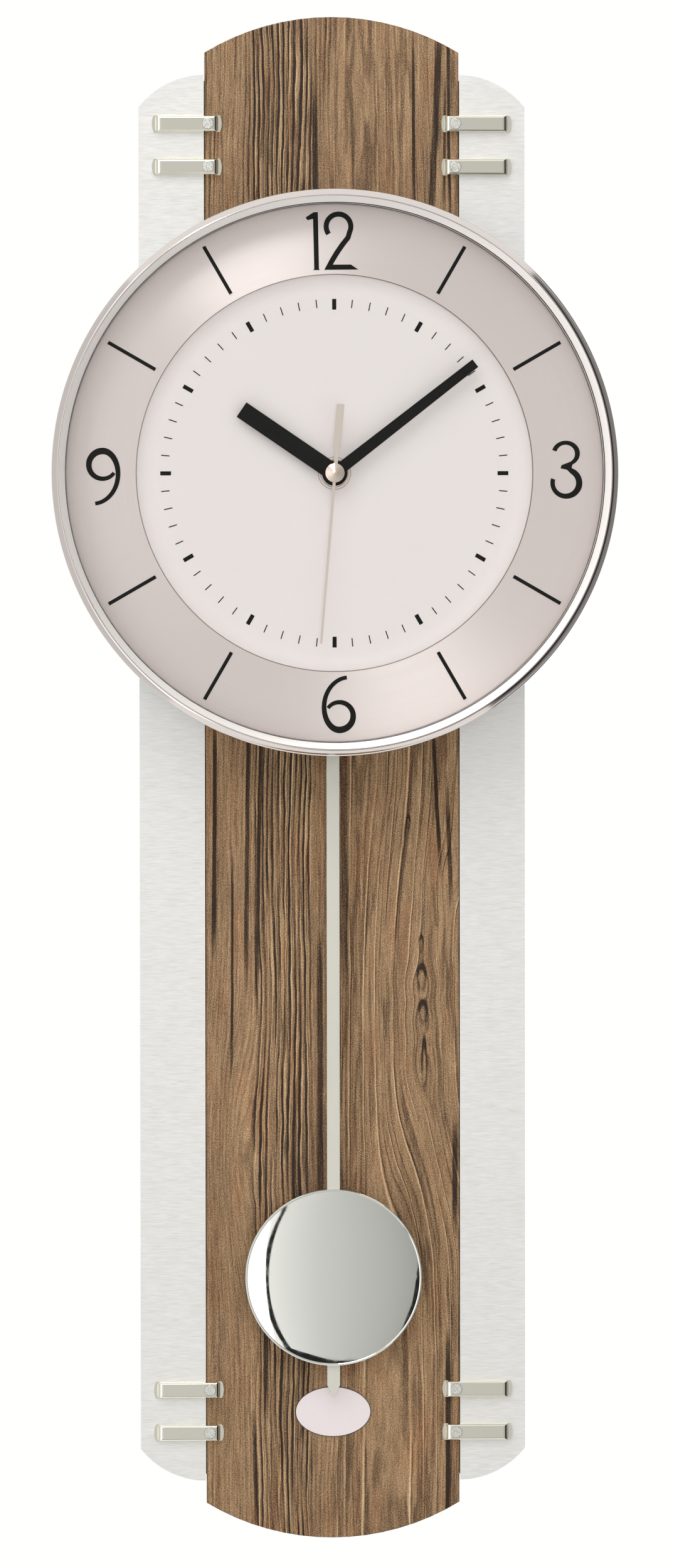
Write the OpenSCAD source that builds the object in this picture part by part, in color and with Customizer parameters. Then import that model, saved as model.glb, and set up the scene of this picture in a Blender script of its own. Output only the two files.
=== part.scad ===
// Radio-controlled wall clock with a free-swinging pendulum.
// The origin is the keyhole that hangs on the wall screw. Seen from the front, X runs right, Z runs up
// and the wall is the plane Y = 0, with the clock in front of it at negative Y.
// Inside the modules a part is drawn facing the viewer: x right, y up, and z forward from the wall.

/* [Panel and side plates] */
// Height of the wooden panel
panel_h = 600; // [560:5:640]
// Width of the wooden panel
panel_w = 100; // [92:1:110]
// Thickness of the wooden panel
panel_t = 6; // [5:0.5:7]
// Rise of the curve at each end of the panel
panel_rise = 14; // [10:1:20]
// Eased edge around the front of the panel
panel_bevel = 0.6; // [0.3:0.1:1]
// Width across both side plates
sides_w = 152; // [148:1:160]
// Distance from the tip of the panel to the ends of the side plates
sides_drop = 22.8; // [18:0.2:26]
// Fall of a side plate's end towards its outer corner
corner_drop = 12.7; // [9:0.1:16]
// Thickness of a side plate
plate_t = 1.2; // [0.8:0.1:2]
// Gap between the panel and a side plate
plate_gap = 0.3; // [0.2:0.1:0.5]
// Thickness of the carrier board behind the panel and the plates
carrier_t = 15; // [13.5:0.5:18]
// Setback of the carrier board behind the visible outline
carrier_inset = 2; // [1:0.5:4]

/* [Chrome bars] */
// Length of a bar
bar_l = 27.5; // [24:0.5:30]
// Width of a bar
bar_w = 6.5; // [5:0.5:7.5]
// Height of a bar above the plates
bar_h = 3.4; // [3:0.2:5]
// Bow of a bar's ends
bar_bow = 0.7; // [0.4:0.1:1.2]
// Length of the low foot at each end of a bar
bar_foot = 1.3; // [0.6:0.1:2]
// Height of the foot
bar_foot_h = 0.9; // [0.6:0.1:1.4]
// Radius that rolls a bar's raised part down to its feet
bar_end_r = 2.4; // [1.5:0.1:2.8]
// Radius at the corners of a bar's raised part, seen from the front
bar_corner_r = 1.2; // [0.6:0.1:2]
// Radius along a bar's long edges
bar_edge_r = 1.3; // [0.8:0.1:2]
// Distance from the panel's edge out to the middle of a bar
bar_out = 7; // [6:0.5:9]
// Distance from the end of the panel to the first bar
bar_from_end = 42; // [38:1:50]
// Distance between the two bars of a corner
bar_pitch = 17; // [14:0.5:22]

/* [Hanging] */
// Distance from the top of the panel to the hanging hole
hanger_from_top = 45; // [42:1:55]
// Thickness of the hanger plate, which is also the stand-off of the pads
hanger_t = 1.5; // [1.2:0.1:2]
// Width of the hanger plate
hanger_w = 36; // [32:1:44]
// Height of the hanger plate
hanger_h = 64; // [58:1:68]
// Radius of the keyhole's round entry
keyhole_r = 4.5; // [4:0.1:5]
// Width of the keyhole's slot
keyhole_slot = 5; // [4.4:0.1:5.6]
// Rise of the keyhole's slot above its entry
keyhole_rise = 14; // [11:1:16]
// Depth of the pocket behind the keyhole
pocket_depth = 6; // [5:0.5:7]
// Radius of a wall pad
pad_r = 7; // [5:0.5:9]

/* [Case] */
// Distance from the top of the panel to the middle of the dial
dial_from_top = 180; // [172:1:190]
// Outer radius of the round case
case_r = 108.5; // [106:0.5:112]
// Thickness of the case wall
case_wall = 2.2; // [1.8:0.1:2.8]
// Thickness of the case floor
case_floor = 2; // [1.6:0.1:2.6]
// Half width of the window behind the movement
window_half_w = 35; // [32:1:36]
// Reach of the window above the dial's middle
window_up = 50; // [46:1:54]
// Reach of the window below the dial's middle
window_down = 40; // [38:1:44]
// Room for the pendulum between the case floor and the movement
pendulum_room = 11.5; // [11:0.1:13]
// Radius of a screw boss in the case
boss_r = 4.5; // [4:0.1:6]
// Height of a screw boss in the case
boss_h = 8; // [7:0.5:12]
// Radius of the case screws
case_screw_r = 2; // [1.5:0.1:2.2]
// Sideways place of the case screws
case_screw_x = 42; // [40:0.5:43]
// Place of the case screws above and below the dial's middle
case_screw_y = 72; // [66:1:78]
// Thickness of the ribs that carry the dial
rib_t = 2.4; // [1.6:0.1:3.2]
// Number of ribs that carry the dial
rib_count = 8; // [6:2:12]

/* [Dial and bezel] */
// Thickness of the dial plate
dial_t = 1; // [0.8:0.1:1.2]
// Depth of the dished middle below the chapter ring
dish_depth = 3; // [2:0.1:3.4]
// Width of the cove around the dished middle
cove_w = 6.5; // [5:0.1:8]
// Width of the chapter ring
ring_w = 27.35; // [25:0.05:30]
// Thickness of the chapter ring
ring_t = 0.8; // [0.5:0.1:1]
// Distance from the outer edge of the chapter ring to the hour batons
baton_margin = 2.85; // [2:0.05:3.5]
// Length of the hour batons
baton_len = 21.1; // [17:0.1:22]
// Width of the hour batons
baton_w = 1.4; // [1:0.1:2.2]
// Thickness of the hour batons
baton_t = 0.3; // [0.2:0.1:0.5]
// Wall of the spacer ring between the dial and the glass
spacer_wall = 1.6; // [1.2:0.1:2]
// Thickness of the glass
glass_t = 2; // [1.5:0.1:3]
// Room between the hub cap and the glass
glass_room = 1.2; // [0.8:0.1:2]
// Thickness of the bezel's skirt around the case
bezel_skirt_t = 1.4; // [1:0.1:2]
// Depth of the bezel's skirt along the case
bezel_skirt_h = 8; // [6:0.5:12]
// Rise of the bezel's ridge above the glass
bezel_rise = 2.2; // [1.6:0.1:3]
// Width of the bezel's polished outer band
bezel_band = 2.8; // [2.2:0.1:3.2]
// Step from the bezel's ridge down to the polished band
bezel_step = 0.4; // [0.2:0.1:0.8]

/* [Hands] */
// Length of the hour hand
hour_len = 43.8; // [38:0.2:50]
// Width of the hour hand
hour_w = 6.8; // [5:0.1:8]
// Length of the minute hand
minute_len = 69.3; // [62:0.1:72]
// Width of the minute hand at its hub
minute_w = 4.6; // [3.6:0.1:5.5]
// Width of the minute hand at its tip
minute_tip_w = 3.7; // [2.5:0.1:4.5]
// Length of the second hand
second_len = 66.5; // [60:0.1:72]
// Width of the second hand at its hub
second_w = 1.2; // [1:0.1:1.8]
// Width of the second hand at its tip
second_tip_w = 0.8; // [0.6:0.1:1]
// Length of the second hand's tail
tail_len = 26.8; // [22:0.2:30]
// Width of the counterweight on the tail
tail_w = 3; // [2:0.1:4]
// Width of the neck between the hub and the counterweight
neck_w = 1.5; // [1:0.1:2]
// Distance from the hub's middle to the counterweight
tail_neck = 10; // [5:0.1:12]
// Radius of the hour and minute hands' hubs
hub_r = 4.95; // [4.4:0.05:5.6]
// Radius of the hub cap
cap_r = 3.7; // [3:0.1:4.2]
// Height of the hub cap
cap_h = 1.6; // [1.2:0.1:2.2]
// Height of the rim below the hub cap's cone
cap_rim = 0.3; // [0.2:0.1:0.6]
// Thickness of the hour and minute hands
hand_t = 0.6; // [0.5:0.1:0.8]
// Thickness of the second hand
second_hand_t = 0.4; // [0.3:0.1:0.5]
// Distance from the dial to the hour hand
hour_gap = 3.8; // [3.6:0.1:4.6]
// Distance between one hand and the next
hand_gap = 1.6; // [1.5:0.1:2]
// Place of the hour hand, in degrees clockwise from twelve
hour_at = 304.3; // [0:0.1:359.9]
// Place of the minute hand, in degrees clockwise from twelve
minute_at = 52.1; // [0:0.1:359.9]
// Place of the second hand, in degrees clockwise from twelve
second_at = 184.7; // [0:0.1:359.9]

/* [Movement] */
// Reach of the movement above the dial's middle
movement_up = 46; // [46:0.5:50]
// Reach of the movement below the dial's middle
movement_down = 48; // [48:0.5:52]
// Wall of the movement's mouldings
shell_t = 1.6; // [1.4:0.1:1.8]
// Thickness of the rubber gasket behind the dial
gasket_t = 0.8; // [0.5:0.1:1.2]
// Radius of the threaded bushing that passes the dial
bushing_r = 4; // [3.8:0.1:4.4]
// Thickness of the washer on the dial
washer_t = 0.5; // [0.3:0.1:0.6]
// Radius of the washer on the dial
washer_r = 6.5; // [6:0.1:8]
// Thickness of the fixing nut
nut_t = 1.5; // [1.2:0.1:1.6]
// Radius of the second hand's arbor
second_arbor_r = 0.5; // [0.4:0.05:0.55]
// Outer radius of the minute hand's pipe
minute_pipe_r = 1.5; // [1.4:0.05:1.6]
// Outer radius of the hour hand's pipe
hour_pipe_r = 2.5; // [2.4:0.05:2.6]
// Radius of the other wheels' arbors
arbor_r = 0.4; // [0.3:0.05:0.5]
// Face width of the wheels
wheel_t = 1.2; // [1:0.05:1.25]
// Axial gap between wheels
layer_gap = 0.4; // [0.3:0.05:0.45]
// Thickness of the gear plate between the two trains
gear_plate_t = 0.8; // [0.6:0.1:0.9]
// Tooth module of the drive wheels
drive_module = 0.4; // [0.38:0.01:0.4]
// Tooth module of the hour wheel and its pinion
hour_module = 0.5; // [0.48:0.01:0.5]
// Travel of a button
button_travel = 0.8; // [0.5:0.1:0.9]
// Radius of a button
button_r = 2.4; // [2:0.1:2.6]
// Radius of the battery
battery_r = 7.1; // [7:0.05:7.1]
// Length of the battery's body
battery_l = 49.5; // [48.5:0.1:49.5]

/* [Pendulum] */
// Distance from the top of the movement down to the pendulum's pivot
pivot_drop = 8; // [7:0.5:9]
// Radius of the pivot pin
pivot_r = 1.2; // [1:0.1:1.5]
// Width of the pendulum rod
rod_w = 5; // [4:0.2:6]
// Thickness of the pendulum rod
rod_t = 1; // [0.8:0.1:1.2]
// Distance from the dial's middle down to the tip of the rod
rod_tip_down = 363.6; // [356:0.2:370]
// Length of the rod's point
rod_point = 5; // [3:0.5:8]
// Distance from the dial's middle down to the middle of the bob
bob_down = 316; // [308:1:322]
// Radius of the bob
bob_r = 34.8; // [31:0.2:38]
// Height of the bob's dome
bob_dome = 7.5; // [5:0.1:9]
// Depth of the bob's rim
bob_rim = 1.2; // [1:0.1:2]
// Thickness of the bob's sheet
bob_sheet = 0.8; // [0.6:0.1:1]
// Swing of the pendulum to each side, in degrees
swing = 4; // [2:0.5:5]

/* [Clearances] */
// Radial clearance of a running shaft
run_fit = 0.07; // [0.05:0.01:0.1]
// Clearance of a piece pressed or seated in its place
seat_fit = 0.05; // [0.02:0.01:0.1]
// Clearance of a screw in its through hole
screw_fit = 0.2; // [0.1:0.05:0.4]
// Clearance of a case piece in the next
case_fit = 0.1; // [0.05:0.05:0.2]

/* [Hidden] */
$fn = 96;

// Stack of the movement, from the front moulding back to the cover: wheels above and below the gear plate,
// and the second motor's magnet behind the last wheel
end_play = 0.5;
magnet_t = 1.6;
magnet_drop = 0.9;
magnet_room = 1.4;
gear_stack = end_play + 6 * (wheel_t + layer_gap) + gear_plate_t + magnet_drop + magnet_t + magnet_room;
movement_t = gear_stack + 2 * shell_t;

// Depths, forward from the wall
carrier_back = hanger_t;
carrier_front = carrier_back + carrier_t;
face = carrier_front + plate_t;
channel_floor = face - panel_t;
floor_front = face + case_floor;
movement_back = floor_front + pendulum_room;
movement_front = movement_back + movement_t;
dial_back = movement_front + gasket_t;
dial_front = dial_back + dial_t;
ring_back = dial_front + dish_depth;
ring_front = ring_back + ring_t;
flange_back = ring_back - dial_t;
hour_back = dial_front + hour_gap;
minute_back = hour_back + hand_t + hand_gap;
second_back = minute_back + hand_t + hand_gap;
second_front = second_back + second_hand_t;
cap_front = second_front + cap_h;
glass_back = cap_front + glass_room;
glass_front = glass_back + glass_t;

// Places on the panel
dial_below_hanger = dial_from_top - hanger_from_top;
panel_mid = dial_from_top - panel_h / 2;
hanger_up = panel_h / 2 - hanger_from_top;
end_r = (panel_w * panel_w / 4 + panel_rise * panel_rise) / (2 * panel_rise);
corner_run = (sides_w - panel_w) / 2;
corner_r = (corner_run * corner_run + corner_drop * corner_drop) / (2 * corner_drop);
sides_half_h = panel_h / 2 - sides_drop;
bar_y = [panel_h / 2 - bar_from_end, panel_h / 2 - bar_from_end - bar_pitch];
bar_mid_x = panel_w / 2 + bar_out;
pad_margin_x = 3;
pad_margin_y = 25;
pad_x = sides_w / 2 - carrier_inset - pad_r - pad_margin_x;
pad_y = sides_half_h - corner_drop - pad_r - pad_margin_y;

// Screws that hold the bars, the panel and the hanger plate
small_screw_r = 1.5;
small_head_r = 3;
small_head_t = 2.4;
head_room = 0.4;
bar_screw_depth = 2.2;
panel_screw_depth = 4.2;
panel_screw_x = 34;
panel_screw_end = 50;
panel_screw_mid = 20;
panel_screw_rows = [panel_h / 2 - panel_screw_end, panel_screw_mid, panel_screw_end - panel_h / 2];
hanger_mid = 5;
hanger_screw_inset = 6;
hanger_screw_x = hanger_w / 2 - hanger_screw_inset;
hanger_screw_y = hanger_h / 2 - hanger_screw_inset;
hanger_screw_r = 1.75;
hanger_head_r = 3.4;
hanger_screw_len = 9;
hanger_corner_r = 6;
pocket_gap = 3;
case_head_r = 3.9;
case_head_t = 3;
case_head_sink = 4;

// Round case, from the outside in
case_bore_r = case_r - case_wall;
glass_r = case_bore_r - case_fit;
spacer_r = glass_r - spacer_wall;
ring_gap = 0.25;
ring_r = spacer_r - ring_gap;
ring_inner_r = ring_r - ring_w;
baton_out = ring_r - baton_margin;
spacer_reveal = 0.15;
bezel_bore_r = spacer_r + spacer_reveal;
bezel_r = case_r + case_fit + bezel_skirt_t;
bezel_ridge_r = bezel_r - bezel_band;
lip_drop = 0.2;
case_lip = glass_front - lip_drop;
rib_reach = 4;
rib_in = ring_r - rib_reach;
cove_r = (cove_w * cove_w + dish_depth * dish_depth) / (2 * dish_depth);
dish_r = ring_inner_r - cove_w;
pivot_up = movement_up - pivot_drop;
slot_gap = 1.3;
slot_half_w = rod_w / 2 + (pivot_up + case_r) * sin(swing) + slot_gap;
slot_room = 3.5;

// Overlap that joins a post or a wall to the face it stands on
root = 0.5;

// Wheel layers of the movement, from the dial towards the wall
shell_inner = movement_front - shell_t;
cover_inner = movement_back + shell_t;
function layer(n) = shell_inner - end_play - n * wheel_t - (n - 1) * layer_gap;
gear_plate_front = layer(4) - layer_gap;
gear_plate_back = gear_plate_front - gear_plate_t;
function rear_layer(n) = gear_plate_back - n * (layer_gap + wheel_t);

// Teeth
pressure = 25;
addendum = 0.85;
pinion_addendum = 1;
dedendum = 1.2;
backlash = 0.07;
wheel_teeth = 60;
pinion_teeth = 10;
hour_teeth = 40;
hour_pinion_teeth = 10;
motion_teeth = 36;
minute_pinion_teeth = 12;
motion_dist = hour_module * (hour_teeth + hour_pinion_teeth) / 2;
motion_module = 2 * motion_dist / (motion_teeth + minute_pinion_teeth);
drive_dist = drive_module * (wheel_teeth + pinion_teeth) / 2;
wheel_tip_r = drive_module * (wheel_teeth / 2 + addendum);

// Wheel centres: the hands turn about [0, 0]
motion_dir = 120;
third_dir = 30;
minute_rotor_dir = -20;
intermediate_dir = -30;
second_rotor_dir = 20;
motion_at = motion_dist * [cos(motion_dir), sin(motion_dir)];
third_at = drive_dist * [cos(third_dir), sin(third_dir)];
minute_rotor_at = third_at + drive_dist * [cos(minute_rotor_dir), sin(minute_rotor_dir)];
intermediate_at = drive_dist * [cos(intermediate_dir), sin(intermediate_dir)];
second_rotor_at = intermediate_at + drive_dist * [cos(second_rotor_dir), sin(second_rotor_dir)];
hand_boss = hand_gap / 2;
second_hub_r = 2.2;
pipe_proud = 0.2;
lower_pipe_r = 1.1;
motion_pin_r = 0.6;
pivot_depth = 0.8;
neck_r = 1.2;
motion_neck_r = 1.6;
collar_r = 1.4;
magnet_r = 1.8;
magnet_rise = 0.6;
minute_magnet_back = layer(4) + wheel_t + magnet_rise;
second_magnet_back = rear_layer(2) - magnet_drop - magnet_t;

// Stators: a plate with two legs that carry the coil's core
stator_t = 1;
stator_w = 21;
stator_h = 9;
leg_x = 8.5;
leg_w = 4;
core_reach = 17;
core_w = 3;
leg_l = core_reach + core_w / 2 + 0.5;
coil_r = 2.6;
coil_l = 12;
stator_post_r = 1.2;
stator_post_y = 2;
stator_gap = 0.62;
minute_stator_back = minute_magnet_back + (magnet_t - stator_t) / 2;
second_stator_back = second_magnet_back + (magnet_t - stator_t) / 2;
movement_w = 2 * (minute_rotor_at[0] + leg_x + leg_w / 2 + stator_gap + shell_t);

// Aerial at the top of the movement
ferrite_r = 4;
ferrite_half = movement_w / 2 - 10;
ferrite_seat_x = ferrite_half - 4;
ferrite_rise = 2.6;
antenna_coil_r = 5.6;
antenna_coil_half = 14;
antenna_drop = 10;
antenna_y = movement_up - antenna_drop;
antenna_z = shell_inner - ferrite_r - ferrite_rise;

// Housing of the movement, with the battery's bay beside the wheels
housing_corner = 4;
bay_wall = 1.4;
bay_play = 0.9;
bay_drop = 4.4;
leaf_room = 7.7;
battery_gap = 0.3;
bay_in = -movement_w / 2 + shell_t;
bay_out = bay_in + 2 * (battery_r + bay_play);
bay_top = antenna_y - ferrite_r - bay_drop;
bay_bottom = bay_top - battery_l - leaf_room;
battery_x = (bay_in + bay_out) / 2;
battery_z = shell_inner - battery_r - battery_gap;
nub_r = 2.7;
nub_h = 1;
contact_t = 0.5;
contact_w = 8;
contact_gap = 0.1;
nub_top = bay_top - contact_t - contact_gap;
battery_top = nub_top - nub_h;
battery_bottom = battery_top - battery_l;
post_r = 3;
post_inset = 4;
screw_bite = 5.5;
cover_screw_r = 1.1;
cover_head_r = 2.2;
cover_head_t = 1.2;
stand_r = 2;
bearing_boss_r = 1.6;

// Gear plate on its three stands
gear_plate_left = bay_out + bay_wall + 1;
gear_plate_right = minute_rotor_at[0] + leg_x;
gear_plate_top = third_at[1] + wheel_tip_r + 5.6;
gear_plate_bottom = intermediate_at[1] - wheel_tip_r - 0.6;
gear_plate_corner = 4;
stand_inset = 3;
gear_plate_stands = [
    [gear_plate_left + stand_inset, gear_plate_bottom + stand_inset],
    [gear_plate_left + stand_inset, gear_plate_top - stand_inset],
    [gear_plate_right - stand_inset, gear_plate_top - stand_inset]];

// Circuit board below the gear plate, its keys and the coil that drives the pendulum
board_t = 1.2;
board_left = bay_out + bay_wall + 2;
board_right = movement_w / 2 - 8;
board_top = gear_plate_bottom - 2;
board_bottom = 3 - movement_down;
board_stands = [for (x = [board_left + 4, board_right - 4], y = [board_bottom + 3, board_top - 3]) [x, y]];
key_y = 10 - movement_down;
button_at = [[board_right - 12, key_y], [board_right - 3, key_y]];
button_proud = button_travel + 1.2;
button_flange_r = button_r + 1;
button_flange_t = 0.8;
switch_w = 5;
switch_t = 0.7;
switch_room = 0.45;
board_back = cover_inner + seat_fit + button_flange_t + button_travel + switch_room + switch_t;
chip_r = 4;
chip_t = 1;
chip_at = [4, board_top - chip_r - 2];
drive_coil_y = key_y;
drive_coil_r = 6;
drive_coil_bore_r = 1.5;

// Pendulum
arm_t = 2;
arm_w = 8;
arm_gap = 3.2;
arm_back = movement_back - arm_gap - arm_t;
arm_bottom = -movement_down - 12;
rod_back = arm_back - rod_t;
eye_r = 4.2;
eye_gap = 0.3;
eye_proud = 1.1;
pin_boss_r = 3.5;
pin_boss_h = 1.8;
eye_front = movement_back - pin_boss_h - eye_gap;
eye_back = arm_back - eye_proud;
pin_head_r = 2.6;
pin_head_t = 1;
pin_head_front = eye_back - eye_gap;
magnet_y = drive_coil_y - 4;
pendulum_magnet_r = 4;
pendulum_magnet_t = 2.2;
peg_r = 1.2;
peg_y = arm_bottom + 4;
rod_top = arm_bottom + 10;
clip_guide_w = 2;
clip_guide_h = 30;
clip_strap_h = 8;
clip_strap_t = 0.9;
bob_back_t = 1.2;
dome_r = (bob_r * bob_r + bob_dome * bob_dome) / (2 * bob_dome);

// Turn of an involute between its base circle and radius r, in degrees
function involute(base, r) = let (a = acos(min(1, base / r))) tan(a) * 180 / PI - a;

// Half the angle that one tooth fills at radius r
function tooth_half(teeth, module_size, r) =
    let (pitch = teeth * module_size / 2, base = pitch * cos(pressure))
    90 / teeth - backlash * 90 / (PI * pitch) + involute(base, pitch) - involute(base, max(r, base));

// Outline of a gear whose first tooth points along x
function gear_points(teeth, module_size, tip_part, steps) =
    let (pitch = teeth * module_size / 2, foot = pitch - dedendum * module_size,
         tip = pitch + tip_part * module_size)
    [for (i = [0 : teeth - 1], side = [-1, 1], k = [0 : steps])
        let (r = foot + (tip - foot) * (side < 0 ? k : steps - k) / steps,
             a = 360 * i / teeth + side * tooth_half(teeth, module_size, r))
        r * [cos(a), sin(a)]];

// Places of a stator's two posts, beside its plate and under its core
function stator_posts(up) = [[leg_x, -up * stator_post_y], [-leg_x, up * core_reach]];

// Turn that puts gear b in mesh with gear a, which lies in direction dir + 180 from it
function mesh(teeth_a, teeth_b, turn_a, dir) = dir + 180 + (180 - teeth_a * (turn_a - dir)) / teeth_b;

motion_turn = mesh(hour_teeth, hour_pinion_teeth, 0, motion_dir);
minute_pinion_turn = mesh(motion_teeth, minute_pinion_teeth, 0, motion_dir + 180);
third_turn = mesh(wheel_teeth, pinion_teeth, 0, third_dir);
minute_rotor_turn = mesh(wheel_teeth, pinion_teeth, 0, minute_rotor_dir);
intermediate_turn = mesh(wheel_teeth, pinion_teeth, 0, intermediate_dir);
second_rotor_turn = mesh(wheel_teeth, pinion_teeth, 0, second_rotor_dir);

// Stands what is drawn around the dial's middle on the wall
module on_dial() {
    translate([0, 0, -dial_below_hanger]) rotate([90, 0, 0]) children();
}

// Stands what is drawn around the panel's middle on the wall
module on_panel() {
    on_dial() translate([0, panel_mid, 0]) children();
}

// Extrudes an outline between two depths
module slab(back, front) {
    translate([0, 0, back]) linear_extrude(front - back) children();
}

module disc(r, back, front) {
    translate([0, 0, back]) cylinder(h = front - back, r = r);
}

module rounded(w, h, r) {
    square([w - 2 * r, h], center = true);
    square([w, h - 2 * r], center = true);
    for (sx = [-1, 1], sy = [-1, 1]) translate([sx * (w / 2 - r), sy * (h / 2 - r)]) circle(r);
}

// Copies its children to both sides and to the top and bottom
module four(x, y) {
    for (sx = [-1, 1], sy = [-1, 1]) translate([sx * x, sy * y, 0]) children();
}

// Head and shank of a screw that points forward
module screw(head_r, head_back, head_front, shank_r, tip) {
    disc(head_r, head_back, head_front);
    disc(shank_r, head_front, tip);
}

// Drilling for that screw through a piece, open at the back
module screw_hole(head_r, back, seat, shank_r, front) {
    disc(head_r + screw_fit, back - 1, seat);
    disc(shank_r, seat - 1, front);
}

// Outline of the wooden panel, set back by inset all round
module panel_outline(inset = 0) {
    intersection() {
        square([panel_w - 2 * inset, panel_h], center = true);
        union() {
            for (s = [-1, 1]) translate([0, s * (panel_h / 2 - end_r)]) circle(end_r - inset);
            square([2 * end_r, panel_h - 2 * end_r], center = true);
        }
    }
}

// Outline of the two side plates as if they met behind the panel
module sides_outline(inset = 0) {
    corner_y = sides_half_h - corner_r;
    intersection() {
        square([sides_w - 2 * inset, 2 * (sides_half_h - inset)], center = true);
        union() {
            four(panel_w / 2, corner_y) circle(corner_r - inset);
            square([panel_w + 2 * corner_r, 2 * corner_y], center = true);
            square([panel_w, 2 * sides_half_h], center = true);
        }
    }
}

// The strip beside the panel that a side plate fills: side is -1 on the left and 1 on the right
module beside_panel(side) {
    translate([side * (panel_w / 2 + plate_gap + sides_w / 2), 0]) square([sides_w, panel_h], center = true);
}

module window_outline() {
    translate([-window_half_w, -window_down]) square([2 * window_half_w, window_up + window_down]);
}

module window_cut(back, front) {
    translate([0, -panel_mid, 0]) slab(back - 1, front + 1) window_outline();
}

module case_screw_holes(r, back, front) {
    translate([0, -panel_mid, 0]) four(case_screw_x, case_screw_y) disc(r, back, front);
}

module carrier_board() {
    color([0.12, 0.11, 0.1]) on_panel() difference() {
        union() {
            slab(carrier_back, channel_floor) union() {
                panel_outline(carrier_inset);
                sides_outline(carrier_inset);
            }
            for (side = [-1, 1]) slab(channel_floor, carrier_front) intersection() {
                sides_outline(carrier_inset);
                beside_panel(side);
            }
        }
        window_cut(carrier_back, channel_floor);
        case_screw_holes(case_screw_r + screw_fit, 0, face);
        case_screw_holes(case_head_r + screw_fit, 0, carrier_back + case_head_sink);
        for (y = bar_y) four(bar_mid_x, y)
            screw_hole(small_head_r, carrier_back, carrier_back + head_room + small_head_t,
                small_screw_r + screw_fit, face);
        for (y = panel_screw_rows, s = [-1, 1]) translate([s * panel_screw_x, y, 0])
            screw_hole(small_head_r, carrier_back, carrier_back + head_room + small_head_t,
                small_screw_r + screw_fit, face);
        translate([0, hanger_up, 0]) {
            slab(0, carrier_back + pocket_depth) {
                circle(keyhole_r + pocket_gap);
                translate([0, keyhole_rise]) circle(keyhole_slot / 2 + pocket_gap);
                translate([-keyhole_slot / 2 - pocket_gap, 0])
                    square([keyhole_slot + 2 * pocket_gap, keyhole_rise]);
            }
            translate([0, hanger_mid, 0]) four(hanger_screw_x, hanger_screw_y)
                disc(hanger_screw_r + seat_fit, 0, hanger_screw_len + 0.5);
        }
    }
}

module wood_panel() {
    bevel = panel_bevel * sqrt(2);
    color([0.53, 0.41, 0.29]) on_panel() difference() {
        slab(channel_floor, face) panel_outline();
        for (s = [-1, 1]) {
            translate([s * panel_w / 2, 0, face]) rotate([90, 0, 0])
                linear_extrude(panel_h, center = true) rotate(45) square(bevel, center = true);
            translate([0, s * (panel_h / 2 - end_r), face]) intersection() {
                rotate_extrude() translate([end_r, 0]) rotate(45) square(bevel, center = true);
                translate([0, s * end_r, 0]) cube([2 * panel_w, end_r, 4 * bevel], center = true);
            }
        }
        window_cut(channel_floor, face);
        case_screw_holes(case_screw_r + screw_fit, 0, face + 1);
        for (y = panel_screw_rows, s = [-1, 1]) translate([s * panel_screw_x, y, 0])
            disc(small_screw_r + seat_fit, 0, channel_floor + panel_screw_depth + 0.3);
    }
}

module side_plate(side) {
    color([0.9, 0.91, 0.9]) on_panel() difference() {
        slab(carrier_front, face) intersection() {
            sides_outline();
            beside_panel(side);
        }
        for (y = bar_y) four(bar_mid_x, y) disc(small_screw_r + screw_fit, 0, face + 1);
    }
}

module side_plate_left() {
    side_plate(-1);
}

module side_plate_right() {
    side_plate(1);
}

// Profile with a flat foot and two rounded top corners
module rolled(w, h, r) {
    translate([-w / 2, 0]) square([w, h - r]);
    translate([-w / 2 + r, 0]) square([w - 2 * r, h]);
    for (s = [-1, 1]) translate([s * (w / 2 - r), h - r]) circle(r);
}

// Outline of a bar on the panel, with bowed ends
module bowed() {
    bow_r = (bar_w * bar_w / 4 + bar_bow * bar_bow) / (2 * bar_bow);
    intersection() {
        square([bar_l, bar_w], center = true);
        union() {
            for (s = [-1, 1]) translate([s * (bar_l / 2 - bow_r), 0]) circle(bow_r);
            square([bar_l - 2 * bow_r, 2 * bow_r], center = true);
        }
    }
}

// One chrome bar, a raised part with rolled sides between two low feet: side is -1 or 1 for left or right,
// end is -1 or 1 for bottom or top, row is 0 for the bar nearer the panel's end
module bar(side, end, row) {
    raised_l = bar_l - 2 * bar_foot;
    color([0.85, 0.86, 0.88]) on_panel() translate([side * bar_mid_x, end * bar_y[row], face]) difference() {
        union() {
            linear_extrude(bar_foot_h) bowed();
            intersection() {
                linear_extrude(bar_h) rounded(raised_l, bar_w, bar_corner_r);
                rotate([90, 0, 90]) linear_extrude(raised_l, center = true) rolled(bar_w, bar_h, bar_edge_r);
                rotate([90, 0, 0]) linear_extrude(bar_w, center = true) rolled(raised_l, bar_h, bar_end_r);
            }
        }
        disc(small_screw_r + seat_fit, -1, bar_screw_depth + 0.2);
    }
}

module bar_top_left_upper() {
    bar(-1, 1, 0);
}

module bar_top_left_lower() {
    bar(-1, 1, 1);
}

module bar_top_right_upper() {
    bar(1, 1, 0);
}

module bar_top_right_lower() {
    bar(1, 1, 1);
}

module bar_bottom_left_upper() {
    bar(-1, -1, 1);
}

module bar_bottom_left_lower() {
    bar(-1, -1, 0);
}

module bar_bottom_right_upper() {
    bar(1, -1, 1);
}

module bar_bottom_right_lower() {
    bar(1, -1, 0);
}

module bar_screws() {
    color([0.6, 0.6, 0.62]) on_panel() for (y = bar_y) four(bar_mid_x, y)
        screw(small_head_r, carrier_back + head_room, carrier_back + head_room + small_head_t,
            small_screw_r, face + bar_screw_depth);
}

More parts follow.
